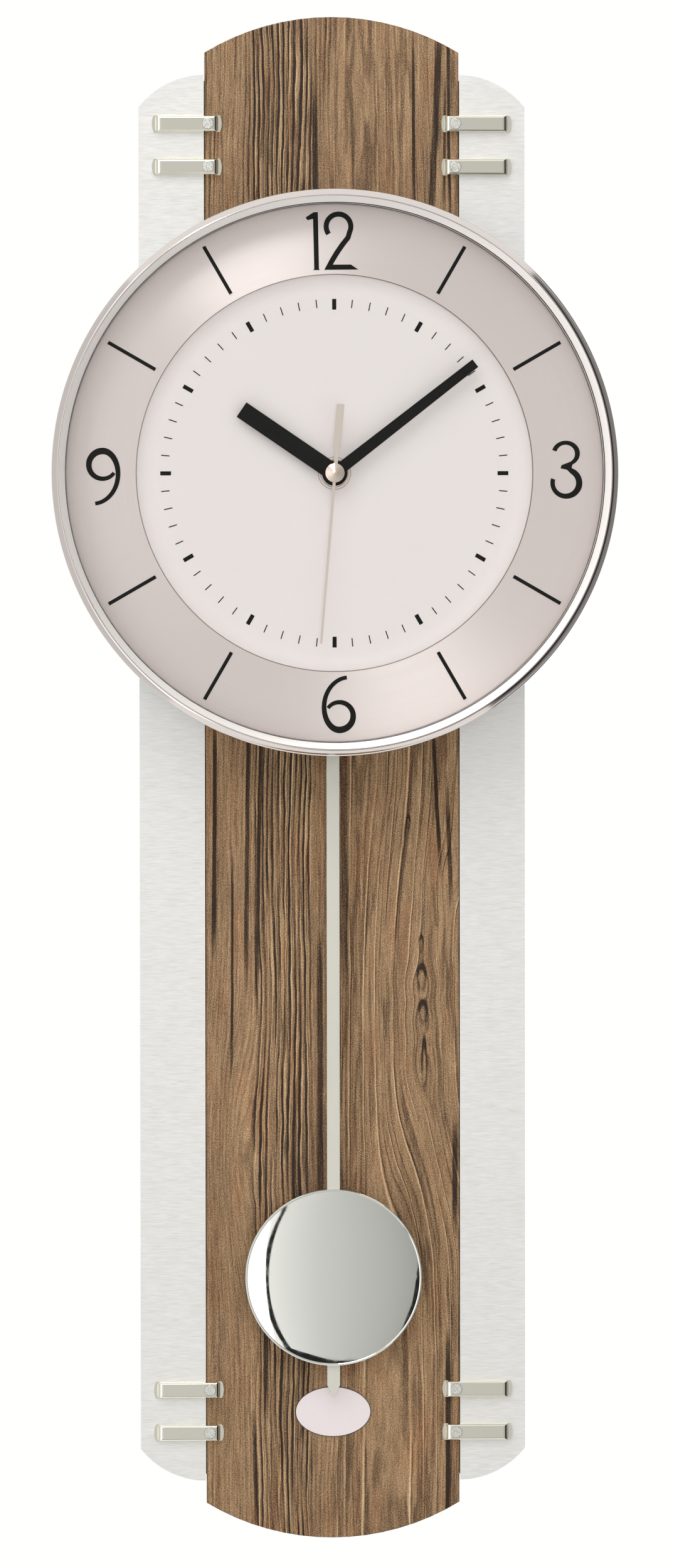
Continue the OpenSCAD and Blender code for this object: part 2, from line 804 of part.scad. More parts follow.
module panel_screws() {
    color([0.6, 0.6, 0.62]) on_panel() for (y = panel_screw_rows, s = [-1, 1])
        translate([s * panel_screw_x, y, 0])
            screw(small_head_r, carrier_back + head_room, carrier_back + head_room + small_head_t,
                small_screw_r, channel_floor + panel_screw_depth);
}

module hanger_plate() {
    color([0.7, 0.7, 0.72]) on_panel() translate([0, hanger_up, 0]) difference() {
        slab(0, hanger_t) translate([0, hanger_mid]) rounded(hanger_w, hanger_h, hanger_corner_r);
        disc(keyhole_r, -1, hanger_t + 1);
        slab(-1, hanger_t + 1) translate([-keyhole_slot / 2, 0]) square([keyhole_slot, keyhole_rise]);
        translate([0, keyhole_rise, 0]) disc(keyhole_slot / 2, -1, hanger_t + 1);
        translate([0, hanger_mid, 0]) four(hanger_screw_x, hanger_screw_y)
            cylinder(h = hanger_t, r1 = hanger_head_r + seat_fit, r2 = hanger_screw_r + seat_fit);
    }
}

module hanger_screws() {
    color([0.75, 0.72, 0.6]) on_panel() translate([0, hanger_up + hanger_mid, 0])
        four(hanger_screw_x, hanger_screw_y) {
            cylinder(h = hanger_t, r1 = hanger_head_r, r2 = hanger_screw_r);
            disc(hanger_screw_r, hanger_t, hanger_screw_len);
        }
}

module wall_pads() {
    color([0.15, 0.15, 0.15]) on_panel() four(pad_x, pad_y) disc(pad_r, 0, hanger_t);
}

module case_drum() {
    color([0.78, 0.78, 0.78]) on_dial() difference() {
        union() {
            disc(case_r, face, floor_front);
            slab(face, case_lip) difference() {
                circle(case_r);
                circle(case_bore_r);
            }
            for (i = [0.5 : rib_count]) rotate(360 * i / rib_count)
                slab(face, flange_back) translate([rib_in, -rib_t / 2])
                    square([case_bore_r + 1 - rib_in, rib_t]);
            four(case_screw_x, case_screw_y) disc(boss_r, face, floor_front + boss_h);
        }
        slab(face - 1, floor_front + 1) window_outline();
        four(case_screw_x, case_screw_y) disc(case_screw_r + seat_fit, face - 1, floor_front + boss_h - 1);
        translate([-slot_half_w, -case_r - 1, rod_back - slot_room])
            cube([2 * slot_half_w, case_wall + 6, rod_t + 2 * slot_room]);
    }
}

module case_screws() {
    color([0.6, 0.6, 0.62]) on_dial() four(case_screw_x, case_screw_y)
        screw(case_head_r, carrier_back + case_head_sink - case_head_t, carrier_back + case_head_sink,
            case_screw_r, floor_front + boss_h - 2);
}

// Dished dial: a flat middle, a cove around it and a flange that carries the chapter ring
module dial_plate() {
    color([0.92, 0.89, 0.87]) on_dial() rotate_extrude() {
        translate([bushing_r + seat_fit, dial_back]) square([dish_r - bushing_r - seat_fit, dial_t]);
        intersection() {
            translate([dish_r, dial_back]) square([cove_w, dish_depth + dial_t]);
            translate([dish_r, dial_front + cove_r]) difference() {
                circle(cove_r + dial_t);
                circle(cove_r);
            }
        }
        translate([ring_inner_r, flange_back]) square([glass_r - ring_inner_r, dial_t]);
    }
}

module chapter_ring() {
    color([0.78, 0.75, 0.72]) on_dial() slab(ring_back, ring_front) difference() {
        circle(ring_r);
        circle(ring_inner_r);
    }
}

module hour_markers() {
    color([0.05, 0.05, 0.05]) on_dial() slab(ring_front, ring_front + baton_t)
        for (hour = [1 : 11]) if (hour % 3 != 0) rotate(-30 * hour)
            translate([-baton_w / 2, baton_out - baton_len]) square([baton_w, baton_len]);
}

module spacer_ring() {
    color([0.06, 0.06, 0.06]) on_dial() slab(ring_back, glass_back) difference() {
        circle(glass_r);
        circle(spacer_r);
    }
}

module glass() {
    color([0.8, 0.9, 0.92, 0.3]) on_dial() disc(glass_r, glass_back, glass_front);
}

// Bezel: a satin slope inside a ridge, and below the ridge a polished band that rounds over to the skirt
module bezel() {
    ridge = glass_front + bezel_rise;
    band_back = ridge - bezel_step - bezel_band;
    skirt_back = glass_front - bezel_skirt_h;
    color([0.82, 0.82, 0.83]) on_dial() rotate_extrude() difference() {
        polygon([[bezel_bore_r, glass_front], [bezel_bore_r, ridge - bezel_rise / 2], [bezel_ridge_r, ridge],
            [bezel_r, ridge], [bezel_r, skirt_back], [case_r + case_fit, skirt_back],
            [case_r + case_fit, glass_front]]);
        translate([bezel_ridge_r, band_back]) difference() {
            square(bezel_band + bezel_step + 1);
            circle(bezel_band);
        }
    }
}

// Flat hand with a round hub on a short boss, bored for its pipe
module hub(boss_r, bore_r, back) {
    difference() {
        union() {
            slab(back, back + hand_t) {
                circle(hub_r);
                children();
            }
            disc(boss_r, back - hand_boss, back);
        }
        disc(bore_r + seat_fit, back - hand_boss - 1, back + hand_t + 1);
    }
}

module hour_hand() {
    color([0.07, 0.07, 0.07]) on_dial() rotate(-hour_at)
        hub(hour_pipe_r + 1, hour_pipe_r, hour_back)
            translate([-hour_w / 2, 0]) square([hour_w, hour_len]);
}

module minute_hand() {
    color([0.07, 0.07, 0.07]) on_dial() rotate(-minute_at)
        hub(minute_pipe_r + 1, minute_pipe_r, minute_back)
            polygon([[-minute_w / 2, 0], [minute_w / 2, 0],
                [minute_tip_w / 2, minute_len], [-minute_tip_w / 2, minute_len]]);
}

module second_hand() {
    color([0.75, 0.72, 0.68]) on_dial() rotate(-second_at) difference() {
        union() {
            slab(second_back, second_front) {
                circle(second_hub_r);
                polygon([[-second_w / 2, 0], [second_w / 2, 0],
                    [second_tip_w / 2, second_len], [-second_tip_w / 2, second_len]]);
                translate([-neck_w / 2, -tail_neck - 1]) square([neck_w, tail_neck + 1]);
                translate([-tail_w / 2, -tail_len]) square([tail_w, tail_len - tail_neck]);
            }
            disc(second_arbor_r + 0.7, second_back - hand_boss, second_back);
        }
        disc(second_arbor_r + seat_fit, second_back - hand_boss - 1, second_front + 1);
    }
}

// Polished cone over the second hand's hub, bored for the arbor's end
module hub_cap() {
    color([0.8, 0.79, 0.77]) on_dial() rotate(-second_at) difference() {
        rotate_extrude() polygon([[0, second_front], [cap_r, second_front], [cap_r, second_front + cap_rim],
            [0, cap_front]]);
        disc(second_arbor_r + seat_fit, second_front - 1, second_front + cap_h / 2 + 0.1);
    }
}

module fixing_nut() {
    color([0.75, 0.65, 0.4]) on_dial() difference() {
        translate([0, 0, dial_front + washer_t]) cylinder(h = nut_t, r = bushing_r + 1.6, $fn = 6);
        disc(bushing_r + seat_fit, dial_front, hour_back);
    }
}

module fixing_washer() {
    color([0.8, 0.76, 0.66]) on_dial() slab(dial_front, dial_front + washer_t) difference() {
        circle(washer_r);
        circle(bushing_r + seat_fit);
    }
}

module rubber_gasket() {
    color([0.1, 0.1, 0.1]) on_dial() slab(movement_front, dial_back) difference() {
        circle(3 * bushing_r);
        circle(bushing_r + seat_fit);
    }
}

module housing_outline(inset = 0) {
    translate([0, (movement_up - movement_down) / 2])
        rounded(movement_w - 2 * inset, movement_up + movement_down - 2 * inset, housing_corner - inset);
}

module bay_outline(inset = 0) {
    translate([bay_in + inset, bay_bottom + inset])
        square([bay_out - bay_in - 2 * inset, bay_top - bay_bottom - 2 * inset]);
}

module at_cover_screws() {
    for (s = [-1, 1], y = [post_inset - movement_down, movement_up - post_inset])
        translate([s * (movement_w / 2 - post_inset), y, 0]) children();
}

// Moulded front shell: walls, battery bay, threaded bushing, posts and the pin of the motion wheel
module movement_housing() {
    color([0.16, 0.16, 0.17]) on_dial() difference() {
        union() {
            difference() {
                slab(cover_inner, movement_front) housing_outline();
                slab(cover_inner - 1, shell_inner) housing_outline(shell_t);
            }
            slab(cover_inner, shell_inner + root) difference() {
                bay_outline(-bay_wall);
                bay_outline();
            }
            at_cover_screws() disc(post_r, cover_inner, shell_inner + root);
            for (p = board_stands) translate(p) disc(stand_r, board_back + board_t, shell_inner + root);
            for (p = gear_plate_stands) translate(p) disc(stand_r, gear_plate_front, shell_inner + root);
            translate(motion_at) disc(motion_pin_r, layer(2) - 0.1, shell_inner + root);
            for (k = [0, 1]) translate(minute_rotor_at + stator_posts(-1)[k])
                disc(stator_post_r, minute_stator_back + (k + 1) * stator_t, shell_inner + root);
            for (s = [-1, 1]) translate([s * ferrite_seat_x, antenna_y, 0])
                slab(antenna_z + ferrite_r + seat_fit, shell_inner + root) square([3, 6], center = true);
            disc(bushing_r, movement_front - root, dial_front + washer_t + nut_t + 0.4);
        }
        disc(hour_pipe_r + run_fit, shell_inner - 1, hour_back);
        at_cover_screws() disc(cover_screw_r + seat_fit, cover_inner - 1, cover_inner + screw_bite + 0.5);
        for (p = [third_at, minute_rotor_at]) translate(p)
            disc(arbor_r + run_fit, shell_inner - 1, shell_inner + pivot_depth + 0.2);
    }
}

module movement_cover() {
    color([0.2, 0.2, 0.21]) on_dial() difference() {
        union() {
            slab(movement_back, cover_inner) difference() {
                housing_outline();
                bay_outline();
            }
            translate([0, pivot_up, 0]) disc(pin_boss_r, movement_back - pin_boss_h, cover_inner + 2);
            disc(stand_r, cover_inner - root, cover_inner + 3);
            translate(intermediate_at) disc(bearing_boss_r, cover_inner - root, rear_layer(2) - layer_gap);
            translate(second_rotor_at)
                disc(bearing_boss_r, cover_inner - root, second_magnet_back - layer_gap);
        }
        translate([0, pivot_up, 0])
            disc(pivot_r + seat_fit, movement_back - pin_boss_h - 1, cover_inner + 1.2);
        disc(second_arbor_r + run_fit, cover_inner, cover_inner + 4);
        for (p = [intermediate_at, second_rotor_at]) translate(p)
            disc(arbor_r + run_fit, cover_inner - 0.8, cover_inner + 6);
        at_cover_screws() disc(cover_screw_r + screw_fit, movement_back - 1, cover_inner + 1);
        for (p = button_at) translate(p) disc(button_r + screw_fit, movement_back - 1, cover_inner + 1);
    }
}

module cover_screws() {
    color([0.7, 0.7, 0.72]) on_dial() at_cover_screws()
        screw(cover_head_r, movement_back - cover_head_t, movement_back,
            cover_screw_r, cover_inner + screw_bite);
}

module gear_plate() {
    color([0.85, 0.85, 0.82]) on_dial() difference() {
        union() {
            slab(gear_plate_back, gear_plate_front)
                translate([gear_plate_left + gear_plate_right, gear_plate_bottom + gear_plate_top] / 2)
                    rounded(gear_plate_right - gear_plate_left, gear_plate_top - gear_plate_bottom,
                        gear_plate_corner);
            for (k = [0, 1]) translate(second_rotor_at + stator_posts(1)[k])
                disc(stator_post_r, second_stator_back + (k + 1) * stator_t, gear_plate_back + root);
        }
        disc(second_arbor_r + run_fit, gear_plate_back - 1, gear_plate_front + 1);
        for (p = [third_at, minute_rotor_at, intermediate_at, second_rotor_at]) translate(p)
            disc(arbor_r + run_fit, gear_plate_back - 1, gear_plate_front + 1);
    }
}

// Spur gear between two depths
module gear(teeth, module_size, tip_part, turn, back, front) {
    slab(back, front) rotate(turn)
        polygon(gear_points(teeth, module_size, tip_part, teeth > 20 ? 2 : 4));
}

// Round lightening holes in a wheel's web
module web_holes(count, at_r, r, back) {
    for (i = [1 : count]) rotate(360 * i / count) translate([at_r, 0, 0])
        disc(r, back - 1, back + wheel_t + 1);
}

module hour_wheel() {
    color([0.93, 0.9, 0.8]) on_dial() difference() {
        union() {
            gear(hour_teeth, hour_module, addendum, 0, layer(1), layer(1) + wheel_t);
            disc(hour_pipe_r, layer(1), hour_back + hand_t + pipe_proud);
        }
        disc(minute_pipe_r + run_fit, layer(1) - 1, hour_back + hand_t + 1);
        web_holes(6, 6, 1.6, layer(1));
    }
}

module motion_wheel() {
    color([0.93, 0.93, 0.9]) on_dial() translate(motion_at) difference() {
        union() {
            gear(motion_teeth, motion_module, addendum, 0, layer(2), layer(2) + wheel_t);
            gear(hour_pinion_teeth, hour_module, pinion_addendum, motion_turn, layer(1), layer(1) + wheel_t);
            disc(motion_neck_r, layer(2), layer(1) + 0.1);
        }
        disc(motion_pin_r + run_fit, layer(2) - 1, layer(1) + wheel_t + 1);
        web_holes(5, 5.6, 1.6, layer(2));
    }
}

module minute_wheel() {
    color([0.93, 0.93, 0.9]) on_dial() difference() {
        union() {
            gear(wheel_teeth, drive_module, addendum, 0, layer(3), layer(3) + wheel_t);
            gear(minute_pinion_teeth, motion_module, pinion_addendum, minute_pinion_turn,
                layer(2), layer(2) + wheel_t);
            disc(minute_pipe_r, layer(3), minute_back + hand_t + pipe_proud);
            disc(lower_pipe_r, gear_plate_front + 0.2, layer(3) + 0.5);
        }
        disc(second_arbor_r + run_fit, gear_plate_front - 1, minute_back + hand_t + 1);
        web_holes(6, 7.4, 2, layer(3));
    }
}

module third_wheel() {
    color([0.93, 0.93, 0.9]) on_dial() translate(third_at) difference() {
        union() {
            gear(wheel_teeth, drive_module, addendum, 0, layer(4), layer(4) + wheel_t);
            gear(pinion_teeth, drive_module, pinion_addendum, third_turn, layer(3), layer(3) + wheel_t);
            disc(neck_r, layer(4), layer(3) + 0.1);
            disc(arbor_r, gear_plate_back + 0.1, shell_inner + pivot_depth);
        }
        web_holes(6, 7.4, 2, layer(4));
    }
}

module minute_rotor() {
    color([0.5, 0.5, 0.52]) on_dial() translate(minute_rotor_at) {
        gear(pinion_teeth, drive_module, pinion_addendum, minute_rotor_turn, layer(4), layer(4) + wheel_t);
        disc(neck_r, layer(4) + 0.5, minute_magnet_back + 0.1);
        disc(magnet_r, minute_magnet_back, minute_magnet_back + magnet_t);
        disc(arbor_r, gear_plate_back + 0.1, shell_inner + pivot_depth);
    }
}

module second_wheel() {
    color([0.93, 0.93, 0.9]) on_dial() difference() {
        union() {
            gear(wheel_teeth, drive_module, addendum, 0, rear_layer(1), rear_layer(1) + wheel_t);
            disc(collar_r, rear_layer(1) - 0.6, gear_plate_back - 0.2);
            disc(second_arbor_r, cover_inner + 0.3, second_front + 0.7);
        }
        web_holes(6, 7.4, 2, rear_layer(1));
    }
}

module intermediate_wheel() {
    color([0.93, 0.93, 0.9]) on_dial() translate(intermediate_at) difference() {
        union() {
            gear(wheel_teeth, drive_module, addendum, 0, rear_layer(2), rear_layer(2) + wheel_t);
            gear(pinion_teeth, drive_module, pinion_addendum, intermediate_turn,
                rear_layer(1), rear_layer(1) + wheel_t);
            disc(neck_r, rear_layer(2), rear_layer(1) + 0.1);
            disc(arbor_r, cover_inner - 0.5, gear_plate_front - 0.1);
        }
        web_holes(6, 7.4, 2, rear_layer(2));
    }
}

module second_rotor() {
    color([0.5, 0.5, 0.52]) on_dial() translate(second_rotor_at) {
        gear(pinion_teeth, drive_module, pinion_addendum, second_rotor_turn,
            rear_layer(2), rear_layer(2) + wheel_t);
        disc(neck_r, second_magnet_back + magnet_t - 0.1, rear_layer(2) + 0.1);
        disc(magnet_r, second_magnet_back, second_magnet_back + magnet_t);
        disc(arbor_r, cover_inner - 0.5, gear_plate_front - 0.1);
    }
}

// Stator of a stepping motor: a plate around the rotor, two legs and the coil's core across them.
// Up is 1 where the legs rise and -1 where they drop.
module stator(at, up, back) {
    translate([at[0], at[1], back]) {
        linear_extrude(stator_t) difference() {
            union() {
                square([stator_w, stator_h], center = true);
                for (s = [-1, 1]) translate([s * leg_x, up * leg_l / 2])
                    square([leg_w, leg_l], center = true);
            }
            circle(magnet_r + 0.6);
        }
        slab(stator_t, 2 * stator_t) translate([0, up * core_reach])
            square([stator_w, core_w], center = true);
    }
}

module motor_stators() {
    color([0.62, 0.62, 0.64]) on_dial() {
        stator(minute_rotor_at, -1, minute_stator_back);
        stator(second_rotor_at, 1, second_stator_back);
    }
}

module motor_coil(at, up, back) {
    translate([at[0], at[1] + up * core_reach, back + 1.5 * stator_t]) difference() {
        rotate([0, 90, 0]) cylinder(h = coil_l, r = coil_r, center = true);
        cube([coil_l + 2, core_w + 2 * seat_fit, stator_t + 2 * seat_fit], center = true);
    }
}

module motor_coils() {
    color([0.72, 0.42, 0.2]) on_dial() {
        motor_coil(minute_rotor_at, -1, minute_stator_back);
        motor_coil(second_rotor_at, 1, second_stator_back);
    }
}

// Board with its two key switches and the receiver's chip
module circuit_board() {
    color([0.1, 0.35, 0.2]) on_dial() {
        slab(board_back, board_back + board_t) translate([board_left, board_bottom])
            square([board_right - board_left, board_top - board_bottom]);
        for (p = button_at) translate([p[0], p[1], board_back - switch_t / 2])
            cube([switch_w, switch_w, switch_t], center = true);
        translate(chip_at) disc(chip_r, board_back + board_t, board_back + board_t + chip_t);
    }
}

module drive_coil() {
    color([0.72, 0.42, 0.2]) on_dial() translate([0, drive_coil_y, 0])
        slab(cover_inner + 0.3, board_back) difference() {
            circle(drive_coil_r);
            circle(drive_coil_bore_r);
        }
}

module ferrite_rod() {
    color([0.18, 0.17, 0.17]) on_dial() translate([0, antenna_y, antenna_z]) rotate([0, 90, 0])
        cylinder(h = 2 * ferrite_half, r = ferrite_r, center = true);
}

module antenna_coil() {
    color([0.72, 0.42, 0.2]) on_dial() translate([0, antenna_y, antenna_z]) rotate([0, 90, 0]) difference() {
        cylinder(h = 2 * antenna_coil_half, r = antenna_coil_r, center = true);
        cylinder(h = 2 * antenna_coil_half + 2, r = ferrite_r + seat_fit, center = true);
    }
}

module battery() {
    color([0.75, 0.73, 0.7]) on_dial() translate([battery_x, 0, battery_z]) rotate([-90, 0, 0]) {
        translate([0, 0, battery_bottom]) cylinder(h = battery_l, r = battery_r);
        translate([0, 0, battery_top]) cylinder(h = nub_h, r = nub_r);
    }
}

// Flat contact at the battery's nub and a bowed leaf at its foot
module battery_contacts() {
    leaf_front = battery_bottom - contact_gap;
    leaf_back = leaf_front - contact_t;
    color([0.8, 0.8, 0.8]) on_dial() translate([battery_x - contact_w / 2, 0, battery_z]) {
        translate([0, bay_top - contact_t, -5]) cube([contact_w, contact_t, 10]);
        rotate([90, 0, 90]) linear_extrude(contact_w) polygon([
            [bay_bottom, -6], [bay_bottom, 6],
            [bay_bottom + contact_t, 6], [bay_bottom + contact_t, -5],
            [leaf_back, -1], [leaf_back, 1],
            [bay_bottom + 3, 5], [bay_bottom + 3.4, 5.4],
            [leaf_front, 1.2], [leaf_front, -1.2],
            [bay_bottom + contact_t, -6]]);
    }
}

module button(at) {
    on_dial() translate(at) {
        disc(button_r, movement_back - button_proud, cover_inner + 0.5);
        disc(button_flange_r, cover_inner + seat_fit, cover_inner + seat_fit + button_flange_t);
    }
}

module set_button() {
    color([0.75, 0.75, 0.75]) button(button_at[0]);
}

module receive_button() {
    color([0.75, 0.3, 0.25]) button(button_at[1]);
}

module pendulum_pin() {
    color([0.8, 0.8, 0.82]) on_dial() translate([0, pivot_up, 0])
        screw(pin_head_r, pin_head_front - pin_head_t, pin_head_front, pivot_r, cover_inner + 1);
}

// Moulded arm with an eye for the pin, a seat for the magnet and a peg for the rod
module pendulum_hanger() {
    color([0.9, 0.9, 0.88]) on_dial() difference() {
        union() {
            translate([0, pivot_up, 0]) disc(eye_r, eye_back, eye_front);
            slab(arm_back, arm_back + arm_t) {
                translate([-arm_w / 2, arm_bottom]) square([arm_w, pivot_up - arm_bottom]);
                translate([0, magnet_y]) circle(pendulum_magnet_r + 1);
            }
            translate([0, peg_y, 0]) disc(peg_r, rod_back - 0.6, arm_back + 0.5);
        }
        translate([0, pivot_up, 0]) disc(pivot_r + run_fit, eye_back - 1, eye_front + 1);
    }
}

module pendulum_magnet() {
    color([0.35, 0.35, 0.37]) on_dial() translate([0, magnet_y, 0])
        disc(pendulum_magnet_r, arm_back + arm_t, arm_back + arm_t + pendulum_magnet_t);
}

module pendulum_rod() {
    color([0.85, 0.84, 0.8]) on_dial() slab(rod_back, arm_back) difference() {
        polygon([[-rod_w / 2, rod_top], [rod_w / 2, rod_top], [rod_w / 2, rod_point - rod_tip_down],
            [0, -rod_tip_down], [-rod_w / 2, rod_point - rod_tip_down]]);
        translate([0, peg_y]) circle(peg_r + seat_fit);
    }
}

// Domed front of the bob, with a short rim
module bob_shell() {
    dome_back = arm_back + bob_rim;
    centre = dome_back + bob_dome - dome_r;
    color([0.9, 0.9, 0.9]) on_dial() translate([0, -bob_down, 0]) rotate_extrude() {
        translate([bob_r - bob_sheet, arm_back]) square([bob_sheet, bob_rim]);
        intersection() {
            translate([0, dome_back]) square([bob_r, bob_dome]);
            translate([0, centre]) difference() {
                circle(dome_r);
                circle(dome_r - bob_sheet);
            }
        }
    }
}

// Back of the bob, with a clip that slides on the rod
module bob_back() {
    guide_x = rod_w / 2 + case_fit;
    guide_back = rod_back - case_fit;
    color([0.8, 0.8, 0.8]) on_dial() translate([0, -bob_down, 0]) {
        disc(bob_r - bob_sheet - seat_fit, arm_back, arm_back + bob_back_t);
        slab(guide_back, arm_back + root) for (s = [-1, 1])
            translate([s * (guide_x + clip_guide_w / 2), 0])
                square([clip_guide_w, clip_guide_h], center = true);
        slab(guide_back - clip_strap_t, guide_back)
            square([2 * (guide_x + clip_guide_w), clip_strap_h], center = true);
    }
}

carrier_board();
wood_panel();
side_plate_left();
side_plate_right();
bar_top_left_upper();
bar_top_left_lower();
bar_top_right_upper();
bar_top_right_lower();
bar_bottom_left_upper();
bar_bottom_left_lower();
bar_bottom_right_upper();
bar_bottom_right_lower();
bar_screws();
panel_screws();
hanger_plate();
hanger_screws();
wall_pads();
case_drum();
case_screws();
dial_plate();
chapter_ring();
hour_markers();
spacer_ring();
glass();
bezel();
hour_hand();
minute_hand();
second_hand();
hub_cap();
fixing_nut();
fixing_washer();
rubber_gasket();
movement_housing();
movement_cover();
cover_screws();
gear_plate();
hour_wheel();
motion_wheel();
minute_wheel();
third_wheel();
minute_rotor();
second_wheel();
intermediate_wheel();
second_rotor();
motor_stators();
motor_coils();
circuit_board();
drive_coil();
ferrite_rod();
antenna_coil();
battery();
battery_contacts();
set_button();
receive_button();
pendulum_pin();
pendulum_hanger();
pendulum_magnet();
pendulum_rod();
bob_shell();
bob_back();
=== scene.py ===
"""Looks of a radio-controlled pendulum wall clock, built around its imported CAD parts."""

import math

import bmesh
import bpy
from mathutils import Matrix, Vector


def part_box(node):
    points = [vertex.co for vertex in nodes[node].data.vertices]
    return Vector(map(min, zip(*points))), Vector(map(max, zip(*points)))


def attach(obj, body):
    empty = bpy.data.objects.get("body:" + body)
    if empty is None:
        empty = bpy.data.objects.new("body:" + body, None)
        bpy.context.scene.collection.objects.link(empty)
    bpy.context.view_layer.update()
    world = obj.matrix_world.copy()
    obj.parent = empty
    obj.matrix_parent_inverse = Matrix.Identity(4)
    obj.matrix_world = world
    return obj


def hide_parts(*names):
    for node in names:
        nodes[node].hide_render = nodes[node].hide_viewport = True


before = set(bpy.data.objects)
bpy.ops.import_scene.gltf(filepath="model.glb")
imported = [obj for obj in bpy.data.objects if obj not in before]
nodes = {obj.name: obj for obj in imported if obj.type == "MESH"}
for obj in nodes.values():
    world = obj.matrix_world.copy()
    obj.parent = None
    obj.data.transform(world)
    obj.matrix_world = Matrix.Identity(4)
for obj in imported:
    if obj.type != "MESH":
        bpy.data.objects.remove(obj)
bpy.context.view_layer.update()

# Units and the places that the frame gives
MM = 0.001
dial_low, dial_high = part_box("dial_plate")
panel_low, panel_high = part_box("wood_panel")
ring_low, ring_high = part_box("chapter_ring")
glass_low, glass_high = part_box("glass")
bezel_low, bezel_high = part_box("bezel")
bob_low, bob_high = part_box("bob_shell")
dial_x = (dial_low.x + dial_high.x) / 2
dial_z = (dial_low.z + dial_high.z) / 2
bob_x = (bob_low.x + bob_high.x) / 2
bob_z = (bob_low.z + bob_high.z) / 2
panel_face = -panel_low.y / MM
ring_face = -ring_low.y / MM
ring_outer_r = (ring_high.x - ring_low.x) / 2 / MM
glass_front = -glass_low.y / MM
glass_back = -glass_high.y / MM

# Chapter ring's width and the depth of the dished dial's floor, in millimetres
ring_w = 27.35
dial_face = 51.0
ring_inner_r = ring_outer_r - ring_w

# Numerals and minute track: thickness, radii and widths, in millimetres
numeral_t = 0.15
print_t = 0.06
tick_inner_r = 64.5
tick_outer_r = 67.8
tick_w = 0.4
block_inner_r = 63.6
block_w = 1.6

# Oval plate: width, height, thickness, place up the panel and width of its rim, in millimetres
plate_w = 30.0
plate_h = 20.0
plate_t = 0.3
plate_z = -505.0
plate_rim = 0.3

# Studs on the bars: distance from the middle, radius, and the width of the painted shade ring that stands for
# the gap round them, in millimetres
stud_x = 48.7
stud_r = 2.15
stud_shade_ring = 0.15

# Bob's rolled rim: radius of the bead and how deep it lies, in millimetres
bead_r = 0.45
bead_depth = 27.45

# Bezel: where its bevel starts, radius of the bevel's curve, wall of its skirt, and depths of the groove
# and the step beside the ridge, in millimetres
bevel_r = 107.2
bevel_curve_r = 4.6
skirt_t = 1.4
groove_d = 0.6
step_d = 0.42

# Turned lines on the washer, and the height of the black line at the foot of the ring round the dial, which
# is partly black paint and partly painted shade in the corner by the chapter ring, in millimetres
washer_line_r = (5.35, 6.3)
foot_shade_h = 2.3

# The photograph's camera: place in metres, yaw, pitch and roll in degrees, and lens in millimetres
camera_place = (-0.0778, -2.788, -0.1867)
camera_turn = (1.6425, -1.4496, -0.0707)
camera_lens = 161.37

# Points of a mesh that lie closer than this are one, in metres
join_gap = 1e-6

# Levels of the world's light: on matt surfaces, and as metal, glass and the camera see it
matt_level = 0.42
seen_level = 1.0


def srgb(red, green, blue):
    """Colour given in bytes, as linear light."""
    def linear(byte):
        share = byte / 255
        return share / 12.92 if share <= 0.04045 else ((share + 0.055) / 1.055) ** 2.4
    return (linear(red), linear(green), linear(blue), 1.0)


# Node trees


